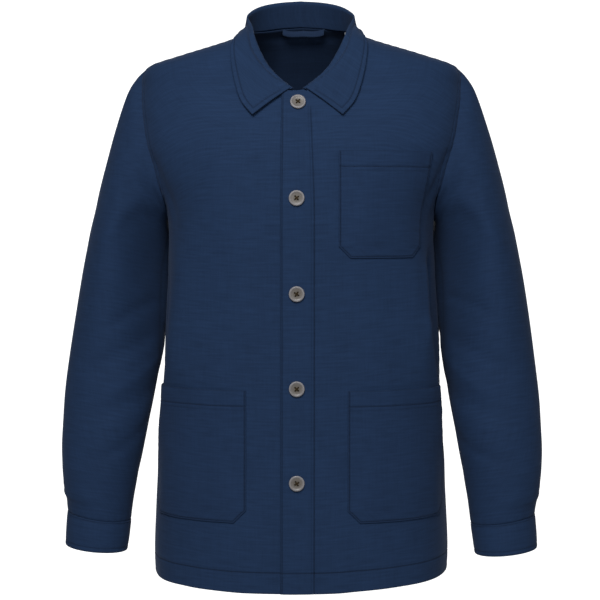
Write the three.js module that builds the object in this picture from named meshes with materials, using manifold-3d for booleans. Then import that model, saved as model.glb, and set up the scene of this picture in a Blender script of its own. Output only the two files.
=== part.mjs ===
// Chore jacket of plain navy cotton in its worn form with nobody in it, in millimetres.
// The origin is the middle of the neck, level with the highest points of the shoulders.
// +Z is up, the wearer would face -Y, and +X is the wearer's left.
import * as THREE from 'three';
import { mergeVertices } from 'three/addons/utils/BufferGeometryUtils.js';
import Module from 'manifold-3d';

const wasm = await Module();
wasm.setup();

// Cloth walls and the gap that two sewn pieces keep
const CLOTH = 1.6;
const COLLAR_CLOTH = 2.4;
const CUFF_CLOTH = 2.0;
const POCKET_CLOTH = 1.4;
const TAPE_CLOTH = 1.0;
const GAP = 0.3;

// Main heights and the overlap of the fronts
const HEM = -724;
const ARMPIT = -250;
const ARMHOLE_TOP = -47;
const NECK_FRONT = -84;
const NECK_BACK = 12;
const OVERLAP = 21;
const OVERLAP_RAMP_START = 44;
const OVERLAP_RAMP_END = 78;
const OVERLAP_LIFT = CLOTH + GAP + 0.35;

// Rows and columns of the walls
const HEM_TO_ARMPIT_ROWS = 12;
const FRONT_CHEST_ROWS = 7;
const FRONT_NECK_ROWS = 6;
const BACK_CHEST_ROWS = 8;
const BACK_NECK_ROWS = 5;
const FRONT_COLUMNS = 15;
const BACK_COLUMNS = 15;

// Level sections of the body: half width, and depth in front of and behind the middle
const BODY = [
  { height: -724, halfWidth: 195, front: 140, back: 128 },
  { height: -690, halfWidth: 195.7, front: 140, back: 126 },
  { height: -640, halfWidth: 193.5, front: 140, back: 121 },
  { height: -578, halfWidth: 190.7, front: 139, back: 114 },
  { height: -500, halfWidth: 187.3, front: 139, back: 108 },
  { height: -400, halfWidth: 184, front: 139, back: 106 },
  { height: -300, halfWidth: 178, front: 140, back: 112 },
  { height: -255, halfWidth: 176.5, front: 140, back: 117 },
  { height: -225, halfWidth: 182, front: 138.5, back: 120 },
  { height: -190, halfWidth: 198, front: 135, back: 123 },
  { height: -150, halfWidth: 211.5, front: 128, back: 124 },
  { height: -110, halfWidth: 216, front: 114, back: 118 },
  { height: -75, halfWidth: 214, front: 98, back: 108 },
  { height: -47, halfWidth: 207, front: 89, back: 98 },
  { height: -33, halfWidth: 164, front: 83, back: 91 },
  { height: -11, halfWidth: 92.5, front: 70, back: 80 },
  { height: 0, halfWidth: 74, front: 66, back: 76 },
  { height: 6, halfWidth: 66, front: 60, back: 69 },
  { height: 12, halfWidth: 60, front: 56, back: 62 },
];
const FRONT_SQUARENESS = 2.7;
const BACK_SQUARENESS = 2.3;

// The largest folds, as soft ridges (rise above 0) and troughs along straight lines on the body.
// Angles run from the front centre, 0, past the side seam, 90, to the back centre, 180.
const FOLDS = [
  { side: 'both', angle: 60, height: -355, toAngle: 61, toHeight: -410, width: 17, rise: 4.5 },
  { side: 'both', angle: 61, height: -410, toAngle: 72, toHeight: -520, width: 18, rise: 3.5 },
  { side: 'both', angle: 76, height: -350, toAngle: 77, toHeight: -400, width: 20, rise: -4.5 },
  { side: 'both', angle: 77, height: -400, toAngle: 86, toHeight: -510, width: 22, rise: -2.2 },
  { side: 'left', angle: 118, height: -230, toAngle: 124, toHeight: -380, width: 19, rise: 4 },
  { side: 'right', angle: 116, height: -250, toAngle: 122, toHeight: -430, width: 20, rise: 4.5 },
  { side: 'left', angle: 134, height: -300, toAngle: 131, toHeight: -520, width: 24, rise: -3 },
  { side: 'right', angle: 137, height: -330, toAngle: 133, toHeight: -560, width: 23, rise: -3.5 },
];
const FOLD_RADIUS = 165;
const FOLD_END = 58;

// The neckline, marked about every 26 mm from the front overlap round to the back centre
const NECKLINE = [
  { mark: 0, angle: -13, height: -84 },
  { mark: 1, angle: 0, height: -84 },
  { mark: 2, angle: 15, height: -76 },
  { mark: 3, angle: 27, height: -59 },
  { mark: 4, angle: 37, height: -39 },
  { mark: 5, angle: 46, height: -19 },
  { mark: 6, angle: 58, height: -6.5 },
  { mark: 7, angle: 73, height: -1.5 },
  { mark: 8, angle: 87.5, height: 0 },
  { mark: 9, angle: 110, height: 2 },
  { mark: 10, angle: 132, height: 5.5 },
  { mark: 11, angle: 155, height: 10 },
  { mark: 12, angle: 180, height: 12 },
];
const SHOULDER_MARK = 7;
const BACK_MARK = 12;

// The armhole seen from the side: turns from its top, 0, by the front to the armpit, 180
const ARMHOLE_FRONT_REACH = 63;
const ARMHOLE_FRONT_LEAN = 11;
const ARMHOLE_BACK_REACH = 72;
const ARMHOLE_BACK_LEAN = 4;
const SHOULDER_TURN = 25;
const FRONT_CORNER_TURN = 100;
const BACK_CORNER_TURN = -50;

// The left sleeve: its outer and inner edge, its depths, the line that its middle follows, and
// the turn by which its inner edge leans back, behind the side of the body
const SLEEVE = [
  { ring: 0, outerX: 208, outerZ: -47, innerX: 179, innerZ: -251, front: 66, back: 72, middle: 0, lean: 0 },
  { ring: 0.5, outerX: 219, outerZ: -56.5, innerX: 180, innerZ: -256, front: 67, back: 72, middle: 0, lean: 5 },
  { ring: 1, outerX: 230.5, outerZ: -75, innerX: 180, innerZ: -263, front: 67, back: 71, middle: 0, lean: 16 },
  { ring: 2, outerX: 249.5, outerZ: -128, innerX: 177, innerZ: -282, front: 67, back: 70, middle: 0, lean: 32 },
  { ring: 3, outerX: 264.5, outerZ: -182, innerX: 176.5, innerZ: -305, front: 66, back: 69, middle: 0, lean: 38 },
  { ring: 4, outerX: 277, outerZ: -236, innerX: 177.5, innerZ: -330, front: 65, back: 68, middle: -1, lean: 40 },
  { ring: 5, outerX: 289.2, outerZ: -290, innerX: 179.5, innerZ: -360, front: 64, back: 67, middle: -3, lean: 38 },
  { ring: 6, outerX: 301, outerZ: -357, innerX: 184.5, innerZ: -398, front: 62, back: 65, middle: -6, lean: 28 },
  { ring: 7, outerX: 310.7, outerZ: -424, innerX: 191.5, innerZ: -444, front: 60, back: 62, middle: -11, lean: 12 },
  { ring: 8, outerX: 317.7, outerZ: -491, innerX: 201.4, innerZ: -500, front: 57, back: 58, middle: -19, lean: 0 },
  { ring: 9, outerX: 320.4, outerZ: -556, innerX: 213.8, innerZ: -563, front: 53, back: 53, middle: -30, lean: 0 },
  { ring: 10, outerX: 318, outerZ: -595, innerX: 220.8, innerZ: -602, front: 49, back: 48, middle: -37, lean: 0 },
  { ring: 11, outerX: 310.7, outerZ: -637, innerX: 227.5, innerZ: -650, front: 43, back: 42, middle: -43, lean: 0 },
];
const SLEEVE_ROWS = 16;
const SLEEVE_END = 11;
const ARMHOLE_FADE = 3.5;

// Creases of the sleeve, in turns round it and rings down it
const SLEEVE_FOLDS = [
  { turn: 150, ring: 6.4, toTurn: 80, toRing: 7.2, width: 14, rise: -2.6 },
  { turn: 165, ring: 7.6, toTurn: 95, toRing: 8.1, width: 13, rise: -2.2 },
  { turn: -150, ring: 6.2, toTurn: -90, toRing: 7.0, width: 15, rise: -2.4 },
  { turn: 120, ring: 2.2, toTurn: 70, toRing: 4.4, width: 16, rise: 2.5 },
  { turn: -60, ring: 10.3, toTurn: 70, toRing: 10.4, width: 11, rise: 1.8 },
];
const TURN_LENGTH = 1.1;
const RING_LENGTH = 58;
const SLEEVE_FOLD_END = 22;

const CUFF = [
  { ring: 0, outerX: 311, outerZ: -637.6, innerX: 227.4, innerZ: -650.6, front: 43.3, back: 42.3, middle: -43.1 },
  { ring: 1, outerX: 312.4, outerZ: -659, innerX: 229.6, innerZ: -670, front: 44, back: 43, middle: -46 },
  { ring: 2, outerX: 313.3, outerZ: -681, innerX: 232.4, innerZ: -690, front: 43.5, back: 42.5, middle: -48.5 },
];
const CUFF_ROWS = 3;

// The collar at marks of the neckline: the top of its fold, and the edge of its falling leaf
const COLLAR = [
  { mark: 1.25, foldX: 7, foldY: -104, foldZ: -77.5, edgeX: 57.6, edgeY: -121, edgeZ: -114.6 },
  { mark: 2, foldX: 20.5, foldY: -93.5, foldZ: -68, edgeX: 72.5, edgeY: -110, edgeZ: -97 },
  { mark: 3, foldX: 38, foldY: -81.5, foldZ: -51.5, edgeX: 81, edgeY: -100, edgeZ: -74 },
  { mark: 4, foldX: 51, foldY: -71, foldZ: -30, edgeX: 86, edgeY: -88, edgeZ: -51 },
  { mark: 5, foldX: 60, foldY: -56, foldZ: -10, edgeX: 87.5, edgeY: -72, edgeZ: -31 },
  { mark: 6, foldX: 64, foldY: -33, foldZ: 3, edgeX: 84.5, edgeY: -48, edgeZ: -15 },
  { mark: 7, foldX: 67.5, foldY: -12, foldZ: 12, edgeX: 79.5, edgeY: -18, edgeZ: -6 },
  { mark: 8, foldX: 70.5, foldY: 6, foldZ: 22, edgeX: 77, edgeY: 16, edgeZ: -4 },
  { mark: 9, foldX: 66, foldY: 28, foldZ: 31.5, edgeX: 73.5, edgeY: 48, edgeZ: -1 },
  { mark: 10, foldX: 52, foldY: 47, foldZ: 41, edgeX: 60, edgeY: 71, edgeZ: 1 },
  { mark: 11, foldX: 29, foldY: 59, foldZ: 47.5, edgeX: 32, edgeY: 81, edgeZ: 3 },
  { mark: 12, foldX: 0, foldY: 63, foldZ: 50, edgeX: 0, edgeY: 84, edgeZ: 4 },
];
const COLLAR_START = 1.25;
const COLLAR_COLUMNS = 22;
const COLLAR_RISE = 1.5;
const COLLAR_CLEARANCE = 5;
const FOLD_ROLL = 3.4;
const ROLL_ANGLES = [165, 115, 65, 20];
const STAND_SHARES = [0, 0.5];
const LEAF_ROWS_TO_NECK = 2;
const LEAF_ROWS_TO_EDGE = 2;
const LEAF_BULGE = 2;
const LEAF_INSET = 3.2;
const LEAF_FREE = 8;

// Patch pockets: distance of the inner edge from the front centre, measured on the cloth
const CHEST_POCKET = { inner: 53, topWidth: 126, bottomWidth: 117, top: -161, bottom: -297, chamfer: 15 };
const LOWER_POCKET = { inner: 65, topWidth: 158, bottomWidth: 157, top: -466, bottom: -636, chamfer: 16 };
const POCKET_COLUMNS = 16;
const POCKET_ROWS = 6;
const POCKET_SEAT = 1.3;

// Buttons with four holes
const BUTTON_HEIGHTS = [-100, -221, -342, -463, -584];
const BUTTON_RADIUS = 10;
const BUTTON_THICKNESS = 3.2;
const BUTTON_RIM = 1.8;
const BUTTON_DISH = 0.7;
const BUTTON_HOLE_RADIUS = 0.9;
const BUTTON_HOLE_SPREAD = 1.9;
const BUTTON_SIDES = 20;
const HOLE_SIDES = 6;

// Hanger loop and blank tab inside the back of the neck
const LOOP_SPAN = 1.1;
const LOOP_TAPE = 8;
const LOOP_DROP = 4;
const LOOP_COLUMNS = 14;
const TAB_MARK = 9.6;
const TAB_WIDTH = 5.5;
const TAB_LENGTH = 10;
const TAPE_SETBACK = 1.7;
const TAPE_RISE = 0.3;

const RADIANS = Math.PI / 180;

function mix(from, to, share) {
  return from + (to - from) * share;
}

function smoothStep(start, end, value) {
  const share = Math.min(Math.max((value - start) / (end - start), 0), 1);
  return share * share * (3 - 2 * share);
}

// Reads a table between its rows along a smooth curve that passes through each row
function readTable(table, key, value) {
  const last = table.length - 1;
  let row = 0;
  while (row < last - 1 && table[row + 1][key] < value) row += 1;
  const from = table[row];
  const to = table[row + 1];
  const before = table[Math.max(row - 1, 0)];
  const after = table[Math.min(row + 2, last)];
  const span = to[key] - from[key];
  const share = Math.min(Math.max((value - from[key]) / span, 0), 1);
  const result = {};
  for (const name of Object.keys(from)) {
    if (typeof from[name] !== 'number') continue;
    const startSlope = (to[name] - before[name]) / (to[key] - before[key]) * span;
    const endSlope = (after[name] - from[name]) / (after[key] - from[key]) * span;
    const rise = to[name] - from[name];
    const square = share * share;
    const cube = square * share;
    result[name] = from[name] + startSlope * (share - 2 * square + cube)
      + rise * (3 * square - 2 * cube) + endSlope * (cube - square);
  }
  return result;
}

// Height of one soft fold at a point whose two coordinates are lengths on the cloth
function foldRise(fold, startAcross, startAlong, endAcross, endAlong, across, along, endLength) {
  const runAcross = endAcross - startAcross;
  const runAlong = endAlong - startAlong;
  const run = Math.hypot(runAcross, runAlong);
  const reach = ((across - startAcross) * runAcross + (along - startAlong) * runAlong) / run;
  const beside = ((across - startAcross) * runAlong - (along - startAlong) * runAcross) / run;
  const beyond = Math.max(-reach, reach - run, 0);
  return fold.rise * Math.exp(-((beside / fold.width) ** 2) - (beyond / endLength) ** 2);
}

function bodyFoldHeight(angle, height) {
  let turned = angle;
  if (turned > 180) turned -= 360;
  const side = turned >= 0 ? 'left' : 'right';
  const across = Math.abs(turned) * RADIANS * FOLD_RADIUS;
  let total = 0;
  for (const fold of FOLDS) {
    if (fold.side !== 'both' && fold.side !== side) continue;
    const start = fold.angle * RADIANS * FOLD_RADIUS;
    const end = fold.toAngle * RADIANS * FOLD_RADIUS;
    total += foldRise(fold, start, fold.height, end, fold.toHeight, across, height, FOLD_END);
  }
  return total;
}

function bodySection(height) {
  return readTable(BODY, 'height', height);
}

// A point of the body's cloth with no folds
function plainBodyPoint(angle, height) {
  const section = bodySection(height);
  const side = Math.sin(angle * RADIANS);
  const ahead = Math.cos(angle * RADIANS);
  const depth = ahead > 0 ? section.front : section.back;
  const power = ahead > 0 ? FRONT_SQUARENESS : BACK_SQUARENESS;
  const sum = (Math.abs(side) / section.halfWidth) ** power + (Math.abs(ahead) / depth) ** power;
  const radius = sum ** (-1 / power);
  return new THREE.Vector3(radius * side, -radius * ahead, height);
}

function surfaceNormal(surface, angle, height) {
  const angleStep = 0.5;
  const heightStep = 0.8;
  const across = surface(angle + angleStep, height).sub(surface(angle - angleStep, height));
  const upward = surface(angle, height + heightStep).sub(surface(angle, height - heightStep));
  return across.cross(upward).normalize();
}

function foldedBodyPoint(angle, height) {
  const point = plainBodyPoint(angle, height);
  const rise = bodyFoldHeight(angle, height);
  return point.addScaledVector(surfaceNormal(plainBodyPoint, angle, height), rise);
}

// The cloth of the body with its outward normal, raised by lift
function bodyCloth(angle, height, lift = 0) {
  const normal = surfaceNormal(foldedBodyPoint, angle, height);
  const point = foldedBodyPoint(angle, height).addScaledVector(normal, lift);
  return { point, normal };
}

// Angle of the cloth at a distance from the front centre, measured round a level section
function angleAtDistance(distance, height) {
  const step = 0.5;
  let travelled = 0;
  let angle = 0;
  let last = plainBodyPoint(0, height);
  while (travelled < Math.abs(distance)) {
    const next = plainBodyPoint(angle + step, height);
    const chord = next.distanceTo(last);
    if (travelled + chord >= Math.abs(distance)) {
      angle += step * (Math.abs(distance) - travelled) / chord;
      break;
    }
    travelled += chord;
    angle += step;
    last = next;
  }
  return Math.sign(distance) * angle;
}

function armholeAt(turn) {
  const wave = Math.sin(turn * RADIANS);
  const lean = Math.sin(2 * turn * RADIANS);
  const middle = (ARMHOLE_TOP + ARMPIT) / 2;
  const height = middle + (ARMHOLE_TOP - middle) * Math.cos(turn * RADIANS);
  const y = turn > 0
    ? -(ARMHOLE_FRONT_REACH * wave - ARMHOLE_FRONT_LEAN * lean)
    : -(ARMHOLE_BACK_REACH * wave - ARMHOLE_BACK_LEAN * lean);
  const section = bodySection(height);
  const depth = y < 0 ? section.front : section.back;
  const power = y < 0 ? FRONT_SQUARENESS : BACK_SQUARENESS;
  const x = section.halfWidth * (1 - (Math.abs(y) / depth) ** power) ** (1 / power);
  return { angle: Math.atan2(x, -y) / RADIANS, height };
}

function necklineAt(mark) {
  return readTable(NECKLINE, 'mark', mark);
}

// Angle of the straight front edge, which lies a fixed distance past the front centre
function frontEdgeAngle(height) {
  return -Math.atan2(OVERLAP, bodySection(height).front) / RADIANS;
}

function frontRowEnds(row) {
  if (row <= HEM_TO_ARMPIT_ROWS) {
    const height = mix(HEM, ARMPIT, row / HEM_TO_ARMPIT_ROWS);
    return { inner: { angle: frontEdgeAngle(height), height }, outer: { angle: 90, height } };
  }
  const chestRow = row - HEM_TO_ARMPIT_ROWS;
  if (chestRow <= FRONT_CHEST_ROWS) {
    const share = chestRow / FRONT_CHEST_ROWS;
    const height = mix(ARMPIT, NECK_FRONT, share);
    const inner = { angle: frontEdgeAngle(height), height };
    return { inner, outer: armholeAt(mix(180, FRONT_CORNER_TURN, share)) };
  }
  const share = (chestRow - FRONT_CHEST_ROWS) / FRONT_NECK_ROWS;
  const inner = necklineAt(mix(0, SHOULDER_MARK, share));
  return { inner, outer: armholeAt(mix(FRONT_CORNER_TURN, SHOULDER_TURN, share)) };
}

function backRowEnds(row) {
  if (row <= HEM_TO_ARMPIT_ROWS) {
    const height = mix(HEM, ARMPIT, row / HEM_TO_ARMPIT_ROWS);
    return { inner: { angle: 180, height }, outer: { angle: 90, height } };
  }
  const chestRow = row - HEM_TO_ARMPIT_ROWS;
  if (chestRow <= BACK_CHEST_ROWS) {
    const share = chestRow / BACK_CHEST_ROWS;
    const inner = { angle: 180, height: mix(ARMPIT, NECK_BACK, share) };
    return { inner, outer: armholeAt(mix(-180, BACK_CORNER_TURN, share)) };
  }
  const share = (chestRow - BACK_CHEST_ROWS) / BACK_NECK_ROWS;
  const inner = necklineAt(mix(BACK_MARK, SHOULDER_MARK, share));
  return { inner, outer: armholeAt(mix(BACK_CORNER_TURN, SHOULDER_TURN, share)) };
}

// Moves a place away from a seam by half the sewn gap, as an angle
function seamShift(angle, height) {
  const radius = Math.hypot(plainBodyPoint(angle, height).x, plainBodyPoint(angle, height).y);
  return GAP / 2 / radius / RADIANS;
}

// Grid of cloth points for a panel, in rows from the hem to the shoulder seam.
// side is 1 for the wearer's left and -1 for the right, and seamSide is 1 behind a seam.
function panelGrid(rowEnds, rows, columns, side, seamSide, lift) {
  const grid = [];
  for (let row = 0; row <= rows; row += 1) {
    const { inner, outer } = rowEnds(row);
    const line = [];
    for (let column = 0; column <= columns; column += 1) {
      const share = column / columns;
      let angle = mix(inner.angle, outer.angle, share);
      const height = mix(inner.height, outer.height, share);
      const onSideSeam = column === columns && row <= HEM_TO_ARMPIT_ROWS;
      if (row === rows || onSideSeam) angle += seamSide * seamShift(angle, height);
      const x = plainBodyPoint(angle, height).x;
      const sided = side > 0 ? angle : -angle;
      line.push(bodyCloth(sided, height, lift(x, angle)));
    }
    grid.push(line);
  }
  return grid;
}

// Lift of the left front where it lies over the right one
function overlapLift(x) {
  return OVERLAP_LIFT * (1 - smoothStep(OVERLAP_RAMP_START, OVERLAP_RAMP_END, x));
}

// A closed wall of cloth on a grid of points with normals. Round a tube the columns join up,
// and openRows leaves the first column's edge open for the first rows, to be joined there.
function wall(grid, thickness, { tube = false, openRows = 0, mirror = false } = {}) {
  const rows = grid.length;
  const columns = grid[0].length;
  const positions = [];
  for (const line of grid) {
    for (const { point, normal } of line) {
      const outer = point.clone().addScaledVector(normal, thickness / 2);
      const inner = point.clone().addScaledVector(normal, -thickness / 2);
      const flip = mirror ? -1 : 1;
      positions.push(outer.x * flip, outer.y, outer.z, inner.x * flip, inner.y, inner.z);
    }
  }
  const outside = (row, column) => 2 * (row * columns + column % columns);
  const inside = (row, column) => outside(row, column) + 1;
  const indices = [];
  const quad = (a, b, c, d) => indices.push(a, b, c, a, c, d);
  const cells = tube ? columns : columns - 1;
  for (let row = 0; row < rows - 1; row += 1) {
    for (let column = 0; column < cells; column += 1) {
      quad(outside(row, column), outside(row, column + 1),
        outside(row + 1, column + 1), outside(row + 1, column));
      quad(inside(row, column), inside(row + 1, column),
        inside(row + 1, column + 1), inside(row, column + 1));
    }
    if (tube) continue;
    if (row >= openRows) {
      quad(outside(row, 0), outside(row + 1, 0), inside(row + 1, 0), inside(row, 0));
    }
    const end = columns - 1;
    quad(outside(row, end), inside(row, end), inside(row + 1, end), outside(row + 1, end));
  }
  const top = rows - 1;
  for (let column = 0; column < cells; column += 1) {
    quad(outside(0, column), inside(0, column), inside(0, column + 1), outside(0, column + 1));
    quad(outside(top, column), outside(top, column + 1),
      inside(top, column + 1), inside(top, column));
  }
  if (mirror) indices.reverse();
  return geometryFrom(positions, indices);
}

function geometryFrom(positions, indices) {
  const geometry = new THREE.BufferGeometry();
  geometry.setAttribute('position', new THREE.Float32BufferAttribute(positions, 3));
  geometry.setIndex(indices);
  return facingOut(geometry);
}

function signedVolume(geometry) {
  const position = geometry.getAttribute('position');
  const index = geometry.getIndex();
  const corner = [new THREE.Vector3(), new THREE.Vector3(), new THREE.Vector3()];
  let volume = 0;
  for (let face = 0; face < index.count; face += 3) {
    corner.forEach((vector, place) => vector.fromBufferAttribute(position, index.getX(face + place)));
    volume += corner[0].dot(corner[1].clone().cross(corner[2])) / 6;
  }
  return volume;
}

function facingOut(geometry) {
  if (signedVolume(geometry) < 0) geometry.setIndex([...geometry.getIndex().array].reverse());
  return geometry;
}

// Joins two open walls along their shared edge into one closed wall
function joinWalls(first, second) {
  const positions = [...first.getAttribute('position').array, ...second.getAttribute('position').array];
  const shift = first.getAttribute('position').count;
  const indices = [...first.getIndex().array, ...[...second.getIndex().array].map((i) => i + shift)];
  return facingOut(mergeVertices(geometryFrom(positions, indices), 1e-4));
}

function frontPanel(side) {
  const rows = HEM_TO_ARMPIT_ROWS + FRONT_CHEST_ROWS + FRONT_NECK_ROWS;
  const lift = side > 0 ? overlapLift : () => 0;
  return wall(panelGrid(frontRowEnds, rows, FRONT_COLUMNS, side, -1, lift), CLOTH);
}

function backPanel() {
  const rows = HEM_TO_ARMPIT_ROWS + BACK_CHEST_ROWS + BACK_NECK_ROWS;
  const openRows = HEM_TO_ARMPIT_ROWS + BACK_CHEST_ROWS;
  const noLift = () => 0;
  const left = panelGrid(backRowEnds, rows, BACK_COLUMNS, 1, 1, noLift);
  const right = panelGrid(backRowEnds, rows, BACK_COLUMNS, -1, 1, noLift);
  for (let row = 0; row <= openRows; row += 1) right[row][0] = left[row][0];
  const leftWall = wall(left, CLOTH, { openRows });
  const rightWall = wall(right, CLOTH, { openRows });
  return joinWalls(leftWall, rightWall);
}

// The turns of the armhole at which the panels have their rows, once round
function armholeTurns() {
  const turns = [];
  for (let row = 0; row < FRONT_NECK_ROWS; row += 1) {
    turns.push(mix(SHOULDER_TURN, FRONT_CORNER_TURN, row / FRONT_NECK_ROWS));
  }
  for (let row = 0; row < FRONT_CHEST_ROWS; row += 1) {
    turns.push(mix(FRONT_CORNER_TURN, 180, row / FRONT_CHEST_ROWS));
  }
  for (let row = 0; row < BACK_CHEST_ROWS; row += 1) {
    turns.push(mix(-180, BACK_CORNER_TURN, row / BACK_CHEST_ROWS));
  }
  for (let row = 0; row < BACK_NECK_ROWS; row += 1) {
    turns.push(mix(BACK_CORNER_TURN, SHOULDER_TURN, row / BACK_NECK_ROWS));
  }
  return turns;
}

// Where the sleeve's cloth starts: beside the panels at the shoulder, outside them at the armpit
function sleeveSeamPoint(turn) {
  const seam = armholeAt(turn);
  const { point, normal } = bodyCloth(seam.angle, seam.height);
  const next = armholeAt(turn + 1);
  const last = armholeAt(turn - 1);
  const tangent = foldedBodyPoint(next.angle, next.height).sub(foldedBodyPoint(last.angle, last.height));
  const away = normal.clone().cross(tangent).normalize();
  const beside = 1.8 * GAP + CLOTH / 2 * Math.abs(Math.sin(turn * RADIANS));
  const outside = (CLOTH + 3 * GAP) * smoothStep(30, 105, Math.abs(turn));
  return point.addScaledVector(away, beside).addScaledVector(normal, outside);
}

// One ring of a tube at a turn: 0 on its outer edge, 180 on its inner edge
function ringPoint(table, ring, turn) {
  const row = readTable(table, 'ring', ring);
  const lean = (row.lean ?? 0) * (1 - Math.cos(turn * RADIANS)) / 2;
  const outer = Math.cos((turn - lean) * RADIANS);
  const ahead = Math.sin(turn * RADIANS);
  const depth = ahead > 0 ? row.front : row.back;
  return new THREE.Vector3(
    (row.outerX + row.innerX) / 2 + (row.outerX - row.innerX) / 2 * outer,
    row.middle - depth * ahead,
    (row.outerZ + row.innerZ) / 2 + (row.outerZ - row.innerZ) / 2 * outer,
  );
}

function sleeveFoldHeight(turn, ring) {
  let total = 0;
  for (const fold of SLEEVE_FOLDS) {
    let nearest = turn;
    if (nearest - fold.turn > 180) nearest -= 360;
    if (fold.turn - nearest > 180) nearest += 360;
    total += foldRise(fold, fold.turn * TURN_LENGTH, fold.ring * RING_LENGTH,
      fold.toTurn * TURN_LENGTH, fold.toRing * RING_LENGTH,
      nearest * TURN_LENGTH, ring * RING_LENGTH, SLEEVE_FOLD_END);
  }
  return total;
}

function plainSleevePoint(ring, turn) {
  const fade = 1 - smoothStep(0, ARMHOLE_FADE, ring);
  const point = ringPoint(SLEEVE, ring, turn);
  const offset = sleeveSeamPoint(turn).sub(ringPoint(SLEEVE, 0, turn));
  return point.addScaledVector(offset, fade);
}

function tubeNormal(surface, ring, turn, lastRing) {
  const ringStep = 0.05;
  const turnStep = 1;
  const before = Math.max(ring - ringStep, 0);
  const after = Math.min(ring + ringStep, lastRing);
  const along = surface(after, turn).sub(surface(before, turn));
  const around = surface(ring, turn + turnStep).sub(surface(ring, turn - turnStep));
  return around.cross(along).normalize();
}

function sleevePanel() {
  const turns = armholeTurns();
  const grid = [];
  for (let row = 0; row <= SLEEVE_ROWS; row += 1) {
    const ring = SLEEVE_END * row / SLEEVE_ROWS;
    const line = [];
    for (const turn of turns) {
      const normal = tubeNormal(plainSleevePoint, ring, turn, SLEEVE_END);
      const rise = sleeveFoldHeight(turn, ring);
      line.push({ point: plainSleevePoint(ring, turn).addScaledVector(normal, rise), normal });
    }
    grid.push(line);
  }
  return grid;
}

function cuffBand() {
  const surface = (ring, turn) => ringPoint(CUFF, ring, turn);
  const lastRing = CUFF.length - 1;
  const grid = [];
  for (let row = 0; row <= CUFF_ROWS; row += 1) {
    const ring = lastRing * row / CUFF_ROWS;
    grid.push(armholeTurns().map((turn) => (
      { point: surface(ring, turn), normal: tubeNormal(surface, ring, turn, lastRing) })));
  }
  return grid;
}

// Pushes a point of the collar's leaf out until it clears the cloth of the body
function clearOfBody(point, clearance) {
  for (let round = 0; round < 3; round += 1) {
    if (point.z > NECK_BACK) return point;
    const angle = Math.atan2(point.x, -point.y) / RADIANS;
    const { point: below, normal } = bodyCloth(angle, point.z);
    const distance = point.clone().sub(below).dot(normal);
    if (distance < clearance) point.addScaledVector(normal, clearance - distance);
  }
  return point;
}

// The neck edge between two rows of the panels is a straight chord of the neckline
function neckEdge(mark) {
  const rowLength = mark < SHOULDER_MARK
    ? SHOULDER_MARK / FRONT_NECK_ROWS
    : (BACK_MARK - SHOULDER_MARK) / BACK_NECK_ROWS;
  const row = Math.floor((mark - SHOULDER_MARK) / rowLength + 1e-6);
  const startMark = SHOULDER_MARK + row * rowLength;
  const start = necklineAt(startMark);
  const end = necklineAt(Math.min(startMark + rowLength, BACK_MARK));
  const share = (mark - startMark) / rowLength;
  return foldedBodyPoint(start.angle, start.height)
    .lerp(foldedBodyPoint(end.angle, end.height), share);
}

// The collar's section at a mark, from the neckline over its fold to the leaf's edge
function collarSection(mark) {
  const row = readTable(COLLAR, 'mark', mark);
  const fold = new THREE.Vector3(row.foldX, row.foldY, row.foldZ);
  const edge = new THREE.Vector3(row.edgeX, row.edgeY, row.edgeZ);
  const neck = neckEdge(mark);
  const stand = fold.clone().sub(neck).normalize();
  const start = neck.clone().addScaledVector(stand, COLLAR_RISE);
  const upward = stand.clone().add(fold.clone().sub(edge).normalize()).normalize();
  const outward = edge.clone().sub(neck);
  outward.addScaledVector(upward, -outward.dot(upward)).normalize();
  const centre = fold.clone().addScaledVector(upward, -FOLD_ROLL);
  const roll = ROLL_ANGLES.map((angle) => centre.clone()
    .addScaledVector(outward, FOLD_ROLL * Math.cos(angle * RADIANS))
    .addScaledVector(upward, FOLD_ROLL * Math.sin(angle * RADIANS)));
  const points = STAND_SHARES.map((share) => start.clone().lerp(roll[0], share));
  points.push(...roll);
  const leafStart = roll[roll.length - 1];
  const overNeck = leafOverNeck(mark, neck, fold, edge, leafStart, outward);
  for (let row = 1; row < LEAF_ROWS_TO_NECK; row += 1) {
    points.push(leafStart.clone().lerp(overNeck, row / LEAF_ROWS_TO_NECK));
  }
  for (let row = 0; row <= LEAF_ROWS_TO_EDGE; row += 1) {
    const share = row / LEAF_ROWS_TO_EDGE;
    const bulge = LEAF_BULGE * Math.sin(share * Math.PI);
    const point = overNeck.clone().lerp(edge, share).addScaledVector(outward, bulge);
    points.push(row === 0 ? point : clearOfBody(point, COLLAR_CLEARANCE));
  }
  return points;
}

// Where the falling leaf passes over the neck seam, clear of the panels' edge
function leafOverNeck(mark, neck, fold, edge, leafStart, outward) {
  const share = fold.distanceTo(neck) / fold.distanceTo(edge);
  const hanging = leafStart.clone().lerp(edge, share).addScaledVector(outward, LEAF_BULGE);
  const place = necklineAt(mark);
  const { normal } = bodyCloth(place.angle, place.height);
  const inward = fold.clone().sub(neck);
  inward.addScaledVector(normal, -inward.dot(normal)).normalize();
  const seated = neck.clone().addScaledVector(normal, COLLAR_CLEARANCE)
    .addScaledVector(inward, LEAF_INSET);
  const height = hanging.clone().sub(neck).dot(normal);
  const free = smoothStep(COLLAR_CLEARANCE, COLLAR_CLEARANCE + LEAF_FREE, height);
  return seated.lerp(hanging, free);
}

function gridNormals(lines) {
  const rows = lines.length;
  const columns = lines[0].length;
  return lines.map((line, row) => line.map((point, column) => {
    const left = line[Math.max(column - 1, 0)];
    const right = line[Math.min(column + 1, columns - 1)];
    const below = lines[Math.max(row - 1, 0)][column];
    const above = lines[Math.min(row + 1, rows - 1)][column];
    const normal = right.clone().sub(left).cross(above.clone().sub(below)).normalize();
    return { point, normal };
  }));
}

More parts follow.
